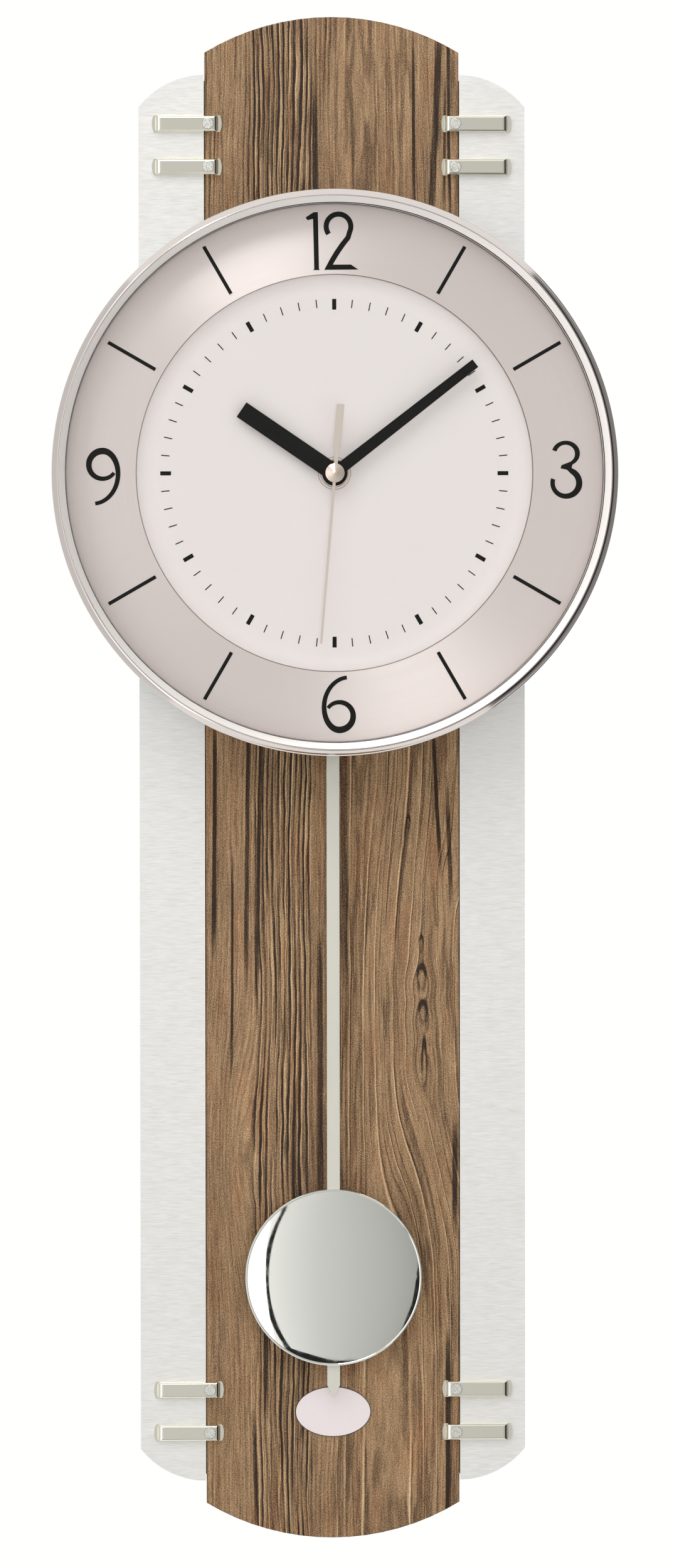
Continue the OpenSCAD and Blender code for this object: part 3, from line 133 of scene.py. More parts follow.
class Graph:
    """A node tree with short calls. A value is a number, a vector, a colour or another node's output."""

    def __init__(self, tree):
        self.tree = tree
        self.tree.nodes.clear()

    def put(self, socket, value):
        if isinstance(value, bpy.types.NodeSocket):
            self.tree.links.new(value, socket)
        else:
            socket.default_value = value

    def node(self, kind, inputs=None, **settings):
        made = self.tree.nodes.new(kind)
        for name, value in settings.items():
            setattr(made, name, value)
        for key, value in (inputs or {}).items():
            self.put(made.inputs[key], value)
        return made

    def calc(self, operation, *values):
        return self.node("ShaderNodeMath", dict(enumerate(values)), operation=operation).outputs[0]

    def sum(self, *values):
        total = values[0]
        for value in values[1:]:
            total = self.calc("ADD", total, value)
        return total

    def times(self, *values):
        total = values[0]
        for value in values[1:]:
            total = self.calc("MULTIPLY", total, value)
        return total

    def step(self, value, low, high, to_low=0.0, to_high=1.0, smooth=True):
        """Value's place between low and high, as a number from to_low to to_high."""
        kind = "SMOOTHSTEP" if smooth else "LINEAR"
        made = self.node("ShaderNodeMapRange", {0: value, 1: low, 2: high, 3: to_low, 4: to_high},
                         interpolation_type=kind, clamp=True)
        return made.outputs[0]

    def hump(self, value, middle, width):
        """1 where value is at the middle, falling to 0 like a bell within about two widths."""
        off = self.calc("DIVIDE", self.calc("SUBTRACT", value, middle), width)
        return self.calc("EXPONENT", self.times(off, off, -1.0))

    def vector(self, x, y, z):
        return self.node("ShaderNodeCombineXYZ", {0: x, 1: y, 2: z}).outputs[0]

    def swing(self, value, reach):
        """Reach times how far a value from 0 to 1 lies above its middle."""
        return self.times(self.calc("SUBTRACT", value, 0.5), reach)

    def noise(self, place, density, detail=2.0, roughness=0.5):
        """Noise of the given density per millimetre along each part of the place."""
        where = self.vector(*(part if share == 1 else self.times(part, share)
                              for part, share in zip(place, density)))
        made = self.node("ShaderNodeTexNoise", {
            "Vector": where, "Scale": 1.0, "Detail": detail, "Roughness": roughness})
        return made.outputs[0]

    def ramp(self, value, *stops):
        """Colour that runs through (position, colour) stops."""
        made = self.node("ShaderNodeValToRGB", {0: value})
        elements = made.color_ramp.elements
        while len(elements) > len(stops):
            elements.remove(elements[-1])
        while len(elements) < len(stops):
            elements.new(0.5)
        for element, (position, colour) in zip(elements, stops):
            element.position = position
            element.color = colour
        return made.outputs[0]

    def blend(self, share, first, second, mode="MIX"):
        made = self.node("ShaderNodeMix", data_type="RGBA", blend_type=mode)
        self.put(made.inputs[0], share)
        self.put(made.inputs[6], first)
        self.put(made.inputs[7], second)
        return made.outputs[2]

    def millimetres(self):
        """The object's own place in millimetres, and its x, y and z."""
        place = self.node("ShaderNodeTexCoord").outputs["Object"]
        scaled = self.node("ShaderNodeVectorMath", {0: place, 3: 1 / MM}, operation="SCALE")
        parts = self.node("ShaderNodeSeparateXYZ", {0: scaled.outputs[0]})
        return parts.outputs[0], parts.outputs[1], parts.outputs[2]


class Surface(Graph):
    """A Principled material with its colour, metallic share, roughness and other sockets."""

    def __init__(self, name, colour, metallic=0.0, roughness=0.5, **sockets):
        self.material = bpy.data.materials.new(name)
        self.material.use_nodes = True
        super().__init__(self.material.node_tree)
        self.shader = self.node("ShaderNodeBsdfPrincipled", {
            "Base Color": colour, "Metallic": metallic, "Roughness": roughness})
        for name, value in sockets.items():
            self.put(self.shader.inputs[name.replace("_", " ")], value)
        self.output = self.node("ShaderNodeOutputMaterial", {0: self.shader.outputs[0]})

    def set(self, name, value):
        self.put(self.shader.inputs[name], value)

    def bump(self, height, distance, strength=1.0):
        """Relief of the given depth in millimetres for a height from 0 to 1."""
        made = self.node("ShaderNodeBump", {
            "Strength": strength, "Distance": distance * MM, "Height": height})
        self.set("Normal", made.outputs[0])


def radius_and_turn(graph, x, z):
    """Distance from the dial's axis in millimetres, and the angle about it in radians."""
    across = graph.calc("SUBTRACT", x, dial_x / MM)
    up = graph.calc("SUBTRACT", z, dial_z / MM)
    squares = graph.sum(graph.times(across, across), graph.times(up, up))
    return graph.calc("SQRT", squares), graph.calc("ARCTAN2", up, across)


# Materials


def knot(graph, x, z, middle, size, push):
    """How far the grain moves sideways round a knot. It parts on both sides and closes above and below."""
    off = graph.calc("SUBTRACT", x, middle[0])
    side = graph.calc("TANH", graph.calc("DIVIDE", off, size[0]))
    near = graph.times(graph.hump(x, middle[0], 6 * size[0]), graph.hump(z, middle[1], size[1]))
    return graph.times(side, near, push)


def streak(graph, x, z, place, reach, width, lean=0.0):
    """A dark or light streak along the grain at x = place, from reach[0] up to reach[1]."""
    middle = graph.sum(place, graph.times(graph.calc("SUBTRACT", z, reach[0]), lean))
    off = graph.calc("SUBTRACT", x, middle)
    line = graph.step(graph.hump(off, 0.0, width), 0.2, 0.65)
    low = graph.step(z, reach[0] - 12, reach[0] + 12)
    high = graph.step(z, reach[1] - 12, reach[1] + 12, 1.0, 0.0)
    return graph.times(line, low, high)


def crack(g, across, z, scale, stretch, seed, width):
    """Dark line and the light ridge beside it, where a noise drawn out along the grain is halfway up. The
    light ridge on one side of the line is partly grain colour and partly a painted highlight of the
    embossing.
    """
    level = g.noise((across, seed, z), (scale, 1, stretch))
    line = g.step(g.calc("ABSOLUTE", g.calc("SUBTRACT", level, 0.5)), 0.4 * width, width, 1.0, 0.0)
    crest = g.hump(level, 0.5 + 2.3 * width, width)
    return line, crest


# Dark streaks of the wood: place across, reach up the panel, half width, lean and depth
wood_streaks = (
    (-47.0, (-318, -236), 0.8, 0.004, 1.1), (-34.2, (-330, -230), 0.9, 0.01, 0.8),
    (-30.2, (-340, -225), 0.8, 0.02, 0.9), (-39.8, (-365, -290), 0.5, 0.0, 1.0),
    (-15.0, (-420, -382), 0.9, 0.0, 0.9), (-5.0, (-420, -320), 1.2, 0.0, 0.75),
    (-26.5, (-500, -455), 0.9, 0.0, 0.9), (-30.5, (-545, -510), 0.8, -0.02, 0.9),
    (-6.2, (-40, 15), 1.2, -0.01, 0.8), (42.5, (-285, -235), 0.7, -0.05, 1.1),
    (46.8, (-300, -262), 0.8, -0.03, 0.9), (45.3, (-560, -478), 1.0, 0.0, 1.0),
    (32.3, (-30, 32), 0.6, 0.0, 1.0), (39.5, (-30, 36), 1.3, 0.05, 0.9),
    (46.4, (-30, 40), 0.6, 0.0, 0.9), (44.2, (-30, 20), 0.5, 0.02, 0.7),
    (48.2, (-430, -396), 1.0, 0.0, 1.0), (4.4, (-330, -235), 1.7, 0.0, 0.5))

# Knots on the right board: middle, size and how far they push the grain aside
wood_knots = (
    ((35.0, -336.0), (1.6, 7.0), -2.6), ((36.0, -350.0), (1.8, 7.0), -2.6),
    ((36.5, -368.0), (1.6, 12.0), -3.2), ((47.5, -294.0), (1.6, 10.0), -2.5))

# Dark edges of the knots: middle and size
knot_edges = (
    ((35.2, -333.5), (1.6, 4.6)), ((35.8, -347.0), (1.5, 4.0)), ((36.2, -368.0), (0.9, 9.0)),
    ((30.0, -272.0), (0.7, 2.4)), ((35.0, -320.0), (0.8, 3.0)))


def left_board(g, x, z, wobble):
    """Grooves close together, in bands that come and go: place across the grain, cuts and light crests. The
    crests on one side of the grooves are partly grain colour and partly a painted highlight of the embossing.
    """
    low_loop = g.times(g.hump(z, -405, 45), g.hump(x, -38, 7), 6.0)
    across = g.sum(x, wobble, low_loop)
    drift = g.noise((across, 3.7, z), (0.1, 1, 0.006))
    beat = g.calc("FRACT", g.sum(g.times(across, 0.5), g.times(drift, 1.6)))
    swell = g.noise((across, 6.3, z), (0.45, 1, 0.016))
    swell = g.step(swell, 0.38, 0.55, 0.25, 1.0)
    off_beat = g.calc("ABSOLUTE", g.calc("SUBTRACT", beat, 0.5))
    groove = g.times(g.step(off_beat, 0.12, 0.24, 1.0, 0.0), swell)
    groove_crest = g.times(g.hump(beat, 0.8, 0.1), swell)
    fine, fine_crest = crack(g, across, z, 0.9, 0.02, 8.1, 0.075)

    # The grooves are deepest in one band of the board and near its top
    patch = g.noise((x, 5.5, z), (0.1, 1, 0.012))
    shaken_x = g.sum(x, g.times(wobble, 0.5))
    band = g.times(g.step(shaken_x, -33.0, -29.0), g.step(shaken_x, -10.5, -7.5, 1.0, 0.0))
    tight = g.sum(g.times(band, 0.85), g.times(g.step(z, -60, -20), 0.25), 0.12)
    tight = g.times(tight, g.step(patch, 0.34, 0.5, 0.55, 1.0))
    cut = g.sum(g.times(groove, tight, 1.25), g.times(fine, g.sum(0.12, g.times(tight, 0.3))))
    crest = g.sum(g.times(groove_crest, tight, 1.2), g.times(fine_crest, g.sum(0.15, g.times(tight, 0.3))))
    return across, cut, crest


def right_board(g, x, z, wobble):
    """Ridges a few millimetres apart, which part at the knots and fan out below them: cuts and crests. The
    light ridges are partly grain colour and partly a painted highlight, and the dark fall-off on one side of
    each ridge is partly painted shade of the embossing.
    """
    fan = g.times(g.step(x, 8, 34), g.step(z, -365, -450, 0.0, 15.0))
    lean = g.times(g.step(z, -330, -240, 0.0, 6.0), g.step(x, 4, 20))
    across = g.sum(x, g.times(wobble, 0.55), g.times(fan, -1.0), g.times(lean, -1.0))
    for middle, size, push in wood_knots:
        across = g.sum(across, knot(g, x, z, middle, size, push))
    spacing = g.noise((across, 1.3, z), (0.11, 1, 0.002), detail=1)
    place = g.calc("FRACT", g.sum(g.times(across, 0.21), g.times(spacing, 2.6)))
    along = g.noise((across, 7.7, z), (0.3, 1, 0.02))
    strong = g.times(g.step(along, 0.38, 0.56, 0.2, 1.0), g.step(z, -70, -20, 1.0, 0.35))
    ridge = g.times(g.hump(place, 0.5, 0.05), strong)
    # Painted shade, in part: a dark line and fall-off on one side of each ridge
    fading_shade = g.times(g.step(place, 0.56, 0.6), g.step(place, 0.6, 0.9, 0.35, 0.0))
    shade = g.sum(g.hump(place, 0.6, 0.035), fading_shade)
    thin, thin_crest = crack(g, across, z, 0.3, 0.01, 6.4, 0.05)
    hair, hair_crest = crack(g, across, z, 1.2, 0.02, 2.2, 0.1)
    cut = g.sum(g.times(shade, strong, 0.45), g.times(thin, 0.3), g.times(hair, 0.15))
    crest = g.sum(g.times(ridge, 1.5), g.times(thin_crest, 0.2), g.times(hair_crest, 0.12))
    return cut, crest


def dark_streaks(g, x, z, wobble):
    """Depth of the single dark streaks on both boards."""
    shaken_x = g.sum(x, g.times(wobble, 0.25))
    total = 0.0
    for place, reach, width, tilt, depth in wood_streaks:
        total = g.sum(total, g.times(streak(g, shaken_x, z, place, reach, width, tilt), depth))
    return total


def dark_knots(g, x, z):
    """Depth of the knots' own dark edges, which are strongest above the middle."""
    total = 0.0
    for middle, size in knot_edges:
        off = g.calc("DIVIDE", g.calc("SUBTRACT", x, middle[0]), size[0])
        up = g.calc("DIVIDE", g.calc("SUBTRACT", z, middle[1]), size[1])
        reach = g.calc("SQRT", g.sum(g.times(off, off), g.times(up, up), 0.0001))
        rim = g.times(g.hump(reach, 1.0, 0.3), g.step(up, -0.6, 0.8, 0.25, 1.0))
        total = g.sum(total, g.times(rim, 1.3))
    return total


def wood():
    """Brown embossed decor: tight dark grooves on the left board, light ridges and knots on the right one."""
    g = Surface("wood", srgb(141, 113, 86), roughness=0.55, Specular_IOR_Level=0.35)
    x, y, z = g.millimetres()
    right = g.step(x, -0.2, 0.2)
    left = g.calc("SUBTRACT", 1.0, right)

    # Slow sideways wander of the grain, and a finer shake
    wander = g.noise((x, y, z), (0.03, 0.05, 0.008))
    shake = g.noise((x, y, z), (0.25, 0.25, 0.07), detail=3)
    wobble = g.sum(g.swing(wander, 8.0), g.swing(shake, 1.3))

    # Cuts and crests of both boards
    left_across, cut_left, crest_highlight_left = left_board(g, x, z, wobble)
    cut_right, crest_highlight_right = right_board(g, x, z, wobble)
    cut = g.sum(g.times(cut_left, left), g.times(cut_right, right), dark_streaks(g, x, z, wobble),
                dark_knots(g, x, z))
    cut = g.calc("MINIMUM", cut, 1.25)
    # Crests lighten the colour partly as grain and partly as a painted highlight of the embossing
    crest = g.sum(g.times(crest_highlight_left, left), g.times(crest_highlight_right, right))

    # Broad tone, fibres, speckle and painted shade: a darker stretch across both boards round the bob's
    # height
    cloud = g.noise((x, y, z), (0.05, 0.05, 0.009), detail=3, roughness=0.6)
    fibre = g.noise((left_across, y, z), (1.6, 1.6, 0.12), roughness=0.6)
    speck = g.noise((x, y, z), (3.1, 3.1, 2.6), detail=0)
    # The last term is painted shade, darkest at z = -425 mm
    tone = g.sum(0.57, g.swing(cloud, 0.35), g.swing(fibre, 0.42), g.swing(speck, 0.85),
                 g.times(crest, 0.3), g.times(cut, -0.55), g.times(g.hump(z, -425.0, 60.0), -0.045))

    # Colour, redder in places, and relief
    colour = g.ramp(tone, (0.02, srgb(46, 33, 22)), (0.26, srgb(98, 73, 48)), (0.5, srgb(148, 117, 83)),
                    (0.74, srgb(188, 152, 112)), (1.0, srgb(228, 194, 152)))
    red = g.noise((x, 2.0, z), (0.16, 1, 0.03))
    redder = g.step(red, 0.45, 0.75, 0.0, 0.35)
    g.set("Base Color", g.blend(redder, colour, srgb(160, 108, 80), mode="SOFT_LIGHT"))
    g.set("Roughness", g.sum(0.5, g.times(cut, 0.2), g.times(speck, 0.12)))
    height = g.sum(0.5, g.times(crest, 0.3), g.times(cut, -0.4), g.times(speck, 0.3))
    g.bump(height, 0.5, 1.0)
    return g.material


def brushed_plate():
    """Pale aluminium brushed across, from side to side, with a painted highlight: a bright line along the
    edge by the wood.
    """
    g = Surface("brushed_plate", srgb(237, 236, 232), metallic=0.4, roughness=0.42, Anisotropic=0.5)
    x, y, z = g.millimetres()
    hair = g.noise((x, y, z), (0.22, 0.6, 3.4), detail=1)
    stroke = g.noise((x, 4.0, z), (0.12, 1, 2.2), detail=0)
    tone = g.sum(hair, g.times(g.step(stroke, 0.66, 0.74), -0.2))
    brushed = g.ramp(tone, (0.2, srgb(227, 226, 221)), (0.5, srgb(237, 236, 232)),
                     (0.8, srgb(245, 244, 241)))
    # Painted highlight: a bright line along the plate's edge where it meets the wood
    edge = g.calc("SUBTRACT", g.calc("ABSOLUTE", x), panel_high.x / MM)
    g.set("Base Color", g.blend(g.step(edge, 0.35, 0.65, 1.0, 0.0), brushed, srgb(252, 249, 245)))
    g.set("Roughness", g.step(hair, 0.3, 0.7, 0.36, 0.5))
    g.set("Tangent", g.vector(1.0, 0.0, 0.0))
    g.bump(hair, 0.05, 0.5)
    return g.material


def chrome(name, colour, roughness=0.05):
    """Polished chrome with faint smears."""
    g = Surface(name, colour, metallic=1.0, roughness=roughness)
    x, y, z = g.millimetres()
    smear = g.noise((x, y, z), (0.3, 0.3, 0.22), detail=4, roughness=0.6)
    g.set("Roughness", g.step(smear, 0.3, 0.75, roughness * 0.6, roughness * 1.9))
    g.bump(smear, 0.003, 0.2)
    return g.material


def turned_ring():
    """Satin silver of the chapter ring, with fine marks of turning about the dial's axis, and a painted shade
    line round its inner edge.
    """
    g = Surface("turned_ring", srgb(246, 233, 228), metallic=0.85, roughness=0.38, Anisotropic=0.9,
                Anisotropic_Rotation=0.25)
    x, y, z = g.millimetres()
    radius, turn = radius_and_turn(g, x, z)
    mark = g.noise((radius, turn, 0.0), (5.0, 1.2, 1), detail=3, roughness=0.6)
    tone = g.sum(0.5, g.swing(mark, 0.6))
    metal = g.ramp(tone, (0.15, srgb(240, 226, 223)), (0.5, srgb(246, 233, 230)),
                   (0.85, srgb(252, 241, 239)))
    # Painted shade: a dark line round the ring's inner edge, where it steps down to the dial
    rim = g.step(radius, ring_inner_r + 0.2, ring_inner_r + 0.45, 1.0, 0.0)
    g.set("Base Color", g.blend(rim, metal, srgb(150, 134, 124)))
    g.set("Roughness", g.step(mark, 0.3, 0.7, 0.3, 0.38))
    g.set("Tangent", g.node("ShaderNodeTangent", direction_type="RADIAL", axis="Y").outputs[0])
    g.bump(mark, 0.012, 0.4)
    return g.material


def bezel_metal():
    """Aluminium bezel: satin slope inside, polished band outside its ridge."""
    g = Surface("bezel_metal", srgb(236, 232, 230), metallic=1.0, roughness=0.3)
    x, y, z = g.millimetres()
    radius, turn = radius_and_turn(g, x, z)
    polished = g.step(radius, bevel_r - 0.25, bevel_r - 0.15)
    mark = g.noise((radius, turn, y), (4.0, 1.5, 1.0), detail=3)
    satin = g.step(mark, 0.3, 0.7, 0.36, 0.48)
    g.set("Roughness", g.sum(g.times(satin, g.calc("SUBTRACT", 1.0, polished)), g.times(polished, 0.1)))
    g.set("Base Color", g.blend(polished, srgb(232, 226, 222), srgb(222, 214, 209)))
    g.set("Metallic", g.step(polished, 0.0, 1.0, 0.3, 1.0, smooth=False))
    g.bump(g.times(mark, g.calc("SUBTRACT", 1.0, polished)), 0.01, 0.3)
    return g.material


def dial_lacquer():
    """Warm white matt lacquer with the slight unevenness of a sprayed coat."""
    g = Surface("dial_lacquer", srgb(238, 229, 224), roughness=0.6, Specular_IOR_Level=0.25)
    x, y, z = g.millimetres()
    coat = g.noise((x, y, z), (0.9, 0.9, 0.9), detail=3, roughness=0.6)
    cloud = g.noise((x, 1.0, z), (0.02, 1, 0.02))
    tone = g.sum(0.5, g.swing(coat, 0.3), g.swing(cloud, 0.5))
    g.set("Base Color", g.ramp(tone, (0.2, srgb(236, 227, 226)), (0.8, srgb(241, 233, 232))))
    g.set("Roughness", g.step(coat, 0.3, 0.7, 0.5, 0.62))
    g.bump(coat, 0.02, 0.3)
    return g.material


def glass():
    """Flat mineral glass: clear, with a weak reflection that grows at the edge of sight."""
    g = Surface("glass_pane", (1.0, 1.0, 1.0, 1.0), metallic=1.0, roughness=0.02)
    x, y, z = g.millimetres()
    smear = g.noise((x, y, z), (0.06, 0.06, 0.05), detail=4, roughness=0.6)
    g.set("Roughness", g.step(smear, 0.35, 0.75, 0.015, 0.06))
    clear = g.node("ShaderNodeBsdfTransparent", {0: (0.985, 0.99, 0.985, 1.0)})
    edge = g.node("ShaderNodeFresnel", {0: 1.12})
    mixed = g.node("ShaderNodeMixShader", {0: edge.outputs[0], 1: clear.outputs[0], 2: g.shader.outputs[0]})
    g.put(g.output.inputs[0], mixed.outputs[0])
    return g.material


def stud_metal():
    """Bright brushed metal of the studs on the bars."""
    g = Surface("stud_metal", srgb(226, 226, 214), metallic=1.0, roughness=0.3)
    x, y, z = g.millimetres()
    mark = g.noise((x, y, z), (2.2, 1.0, 1.4), detail=3, roughness=0.7)
    g.set("Base Color", g.ramp(mark, (0.3, srgb(170, 168, 156)), (0.45, srgb(240, 240, 230)),
                               (0.6, srgb(255, 255, 248))))
    g.set("Roughness", g.step(mark, 0.3, 0.7, 0.22, 0.4))
    g.bump(mark, 0.08, 0.7)
    return g.material


def spacer_paint_and_shade():
    """Black on the front of the ring round the dial, and a black line at its foot that is partly paint and
    partly painted shade in the corner by the chapter ring, with silver paint between them.
    """
    g = Surface("spacer_paint_and_shade", srgb(30, 29, 29), roughness=0.6)
    x, y, z = g.millimetres()
    depth = g.calc("MULTIPLY", y, -1.0)
    grain = g.noise((x, y, z), (3.0, 3.0, 3.0))
    silver = g.ramp(grain, (0.3, srgb(206, 197, 192)), (0.7, srgb(218, 209, 204)))
    black = g.ramp(grain, (0.3, srgb(26, 24, 23)), (0.7, srgb(36, 34, 33)))
    # The black at the foot is partly painted shade, where the wall meets the chapter ring
    above_foot_shade = g.step(depth, ring_face + foot_shade_h - 0.1, ring_face + foot_shade_h + 0.1)
    below_front = g.step(depth, glass_back - 0.2, glass_back - 0.1, 1.0, 0.0)
    between = g.times(above_foot_shade, below_front)
    g.set("Base Color", g.blend(between, black, silver))
    g.set("Roughness", g.step(grain, 0.3, 0.7, 0.5, 0.65))
    g.bump(grain, 0.02, 0.4)
    return g.material


def hub_polish():
    """Polished cone of the hub: fine turning marks, which draw the light out into wedges."""
    g = Surface("hub_polish", srgb(246, 226, 213), metallic=1.0, roughness=0.2, Anisotropic=0.95,
                Anisotropic_Rotation=0.25)
    x, y, z = g.millimetres()
    radius, turn = radius_and_turn(g, x, z)
    mark = g.noise((radius, turn, 0.0), (9.0, 0.8, 1))
    g.set("Roughness", g.step(mark, 0.3, 0.7, 0.15, 0.22))
    g.set("Tangent", g.node("ShaderNodeTangent", direction_type="RADIAL", axis="Y").outputs[0])
    g.bump(mark, 0.01, 0.4)
    return g.material


def washer_face():
    """Pale nickel of the washer and the nut, with two fine turned lines."""
    g = Surface("washer_face", srgb(238, 227, 221), metallic=0.25, roughness=0.4)
    x, y, z = g.millimetres()
    radius, turn = radius_and_turn(g, x, z)
    mark = g.noise((radius, turn, 0.0), (6.0, 2.0, 1))
    lines = g.sum(g.hump(radius, washer_line_r[0], 0.1), g.hump(radius, washer_line_r[1], 0.1))
    metal = g.ramp(mark, (0.25, srgb(230, 218, 211)), (0.75, srgb(244, 234, 229)))
    g.set("Base Color", g.blend(g.calc("MINIMUM", lines, 1.0), metal, srgb(138, 104, 84)))
    g.set("Roughness", g.step(mark, 0.3, 0.7, 0.34, 0.46))
    g.bump(g.sum(g.times(mark, 0.3), g.times(lines, -1.0)), 0.05, 0.5)
    return g.material


def grained(name, colour, metallic=0.0, roughness=0.5, grain=1.0, depth=0.02, tone=0.12, **sockets):
    """A finish with one grain: noise of a density per millimetre, the same along all axes or one for each."""
    g = Surface(name, colour, metallic=metallic, roughness=roughness, **sockets)
    x, y, z = g.millimetres()
    density = grain if isinstance(grain, tuple) else (grain,) * 3
    spread = 0.12
    fine = g.noise((x, y, z), density, detail=3, roughness=0.6)
    cloud = g.noise((x, y, z), (0.05, 0.05, 0.05))
    level = g.sum(0.5, g.swing(fine, 0.8), g.swing(cloud, 0.5))
    dark = tuple(c * (1 - tone) for c in colour[:3]) + (1.0,)
    light = tuple(min(1.0, c * (1 + tone)) for c in colour[:3]) + (1.0,)
    g.set("Base Color", g.ramp(level, (0.1, dark), (0.5, colour), (0.9, light)))
    g.set("Roughness", g.step(fine, 0.25, 0.75, max(0.02, roughness - spread),
                              min(1.0, roughness + spread)))
    g.bump(fine, depth, 0.6)
    return g.material


def wound(name, colour, axis, pitch):
    """Enamelled wire wound about the given axis, with one rounded turn for each pitch in millimetres, and
    painted shade darkening the colour between the turns.
    """
    g = Surface(name, colour, metallic=1.0, roughness=0.3, Coat_Weight=0.6)
    x, y, z = g.millimetres()
    turn = g.calc("ABSOLUTE", g.calc("SINE", g.times((x, y, z)[axis], math.pi / pitch)))
    stain = g.noise((x, y, z), (0.4, 0.4, 0.4), detail=3)
    # Painted shade: the colour darkens to the dark tone where one turn meets the next
    dark = tuple(c * 0.45 for c in colour[:3]) + (1.0,)
    level = g.sum(g.times(turn, 0.8), g.times(stain, 0.3))
    g.set("Base Color", g.ramp(level, (0.15, dark), (0.85, colour)))
    g.bump(turn, 0.06, 0.8)
    return g.material


def battery_sleeve():
    """Bare cell sleeve: light grey with a dark band at the plus end."""
    g = Surface("battery_sleeve", srgb(196, 196, 192), metallic=0.7, roughness=0.35)
    x, y, z = g.millimetres()
    low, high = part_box("battery")
    middle = (low.x + high.x) / 2 / MM
    length = (high.x - low.x) / MM
    band = g.step(x, middle + 0.16 * length, middle + 0.17 * length)
    scuff = g.noise((x, y, z), (0.3, 2.0, 2.0), detail=4)
    base = g.blend(band, srgb(196, 196, 192), srgb(52, 52, 55))
    g.set("Base Color", g.blend(g.step(scuff, 0.4, 0.7, 0.0, 0.2), base, srgb(120, 118, 114)))
    g.set("Roughness", g.step(scuff, 0.3, 0.7, 0.28, 0.45))
    g.bump(scuff, 0.015, 0.4)
    return g.material


def solder_mask():
    """Green circuit board with faint tracks under the mask."""
    g = Surface("solder_mask", srgb(24, 84, 52), roughness=0.35)
    x, y, z = g.millimetres()
    lines = g.calc("ABSOLUTE", g.calc("SINE", g.times(g.sum(x, z), 1.3)))
    fine = g.noise((x, 1.0, z), (0.2, 1, 0.2))
    track = g.times(g.step(lines, 0.82, 0.9), g.step(fine, 0.45, 0.55))
    g.set("Base Color", g.blend(track, srgb(24, 84, 52), srgb(58, 122, 78)))
    g.bump(track, 0.03, 0.6)
    return g.material


# Mesh helpers


def link(name, data):
    item = bpy.data.objects.new(name, data)
    bpy.context.scene.collection.objects.link(item)
    return item


def made_of(name, bm, material=None):
    """Object whose mesh is the finished bmesh, with a material on it."""
    mesh = bpy.data.meshes.new(name)
    bm.to_mesh(mesh)
    bm.free()
    if material:
        mesh.materials.append(material)
    return link(name, mesh)


def flat_card(name, outline, material):
    """A single flat face with the given outline in metres."""
    bm = bmesh.new()
    bm.faces.new([bm.verts.new((x, y, 0.0)) for x, y in outline])
    return made_of(name, bm, material)


def on_dial(x, y, depth):
    """A point x right and y up from the dial's axis, depth in front of the wall, in millimetres."""
    return Vector((dial_x + x * MM, -depth * MM, dial_z + y * MM))


def on_panel(x, z, depth):
    """A point at x and z in the row frame, depth in front of the wall, in millimetres."""
    return Vector((x * MM, -depth * MM, z * MM))


def raise_outline(bm, outline, place, back, front):
    """Adds the solid between two depths whose outline is a list of (x, y) points in millimetres."""
    rear = [bm.verts.new(place(x, y, back)) for x, y in outline]
    fore = [bm.verts.new(place(x, y, front)) for x, y in outline]
    faces = [bm.faces.new(rear), bm.faces.new(fore)]
    for index in range(len(outline)):
        after = (index + 1) % len(outline)
        faces.append(bm.faces.new((rear[index], rear[after], fore[after], fore[index])))
    bmesh.ops.recalc_face_normals(bm, faces=faces)


def weld(item):
    made = item.modifiers.new("weld", "WELD")
    made.merge_threshold = join_gap


def solid_piece(name, outlines, place, back, front, material, body):
    """One piece made of raised outlines, which rides a body and takes its finish from a slot."""
    bm = bmesh.new()
    for outline in outlines:
        raise_outline(bm, outline, place, back, front)
    piece = made_of(name, bm, material)
    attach(piece, body)
    return piece


def soften(piece, width, segments=2, angle=30.0):
    """Rounds a piece's sharp edges by the given width in millimetres."""
    weld(piece)
    bevel = piece.modifiers.new("bevel", "BEVEL")
    bevel.width = width * MM
    bevel.segments = segments
    bevel.limit_method = "ANGLE"
    bevel.angle_limit = math.radians(angle)
    bevel.harden_normals = False


def arc(middle, radii, start, stop, steps):
    """Points of an arc from start to stop in degrees, round an ellipse."""
    points = []
    for index in range(steps + 1):
        angle = math.radians(start + (stop - start) * index / steps)
        points.append((middle[0] + radii[0] * math.cos(angle), middle[1] + radii[1] * math.sin(angle)))
    return points


def ribbon(points, widths):
    """Outline of a stroke along the points, as wide at each as the widths say."""
    left, right = [], []
    for index, (x, y) in enumerate(points):
        before = points[max(index - 1, 0)]
        after = points[min(index + 1, len(points) - 1)]
        run = Vector((after[0] - before[0], after[1] - before[1])).normalized()
        half = widths[index] / 2
        left.append((x - run.y * half, y + run.x * half))
        right.append((x + run.y * half, y - run.x * half))
    return left + right[::-1]


def box_outline(x0, x1, y0, y1):
    return [(x0, y0), (x1, y0), (x1, y1), (x0, y1)]


def turned_outline(outline, degrees, middle=(0.0, 0.0)):
    """The outline turned about a point."""
    c = math.cos(math.radians(degrees))
    s = math.sin(math.radians(degrees))
    return [(middle[0] + c * (x - middle[0]) - s * (y - middle[1]),
             middle[1] + s * (x - middle[0]) + c * (y - middle[1])) for x, y in outline]


def islands(node):
    """The separate solids of a CAD node, each as a list of its points."""
    bm = bmesh.new()
    bm.from_mesh(nodes[node].data)
    bmesh.ops.remove_doubles(bm, verts=bm.verts, dist=join_gap)
    left = set(bm.verts)
    found = []
    while left:
        reached = [left.pop()]
        points = []
        while reached:
            vert = reached.pop()
            points.append(vert.co.copy())
            for edge in vert.link_edges:
                other = edge.other_vert(vert)
                if other in left:
                    left.remove(other)
                    reached.append(other)
        found.append(points)
    bm.free()
    return sorted(found, key=lambda points: tuple(round(value, 5) for value in points_middle(points)))


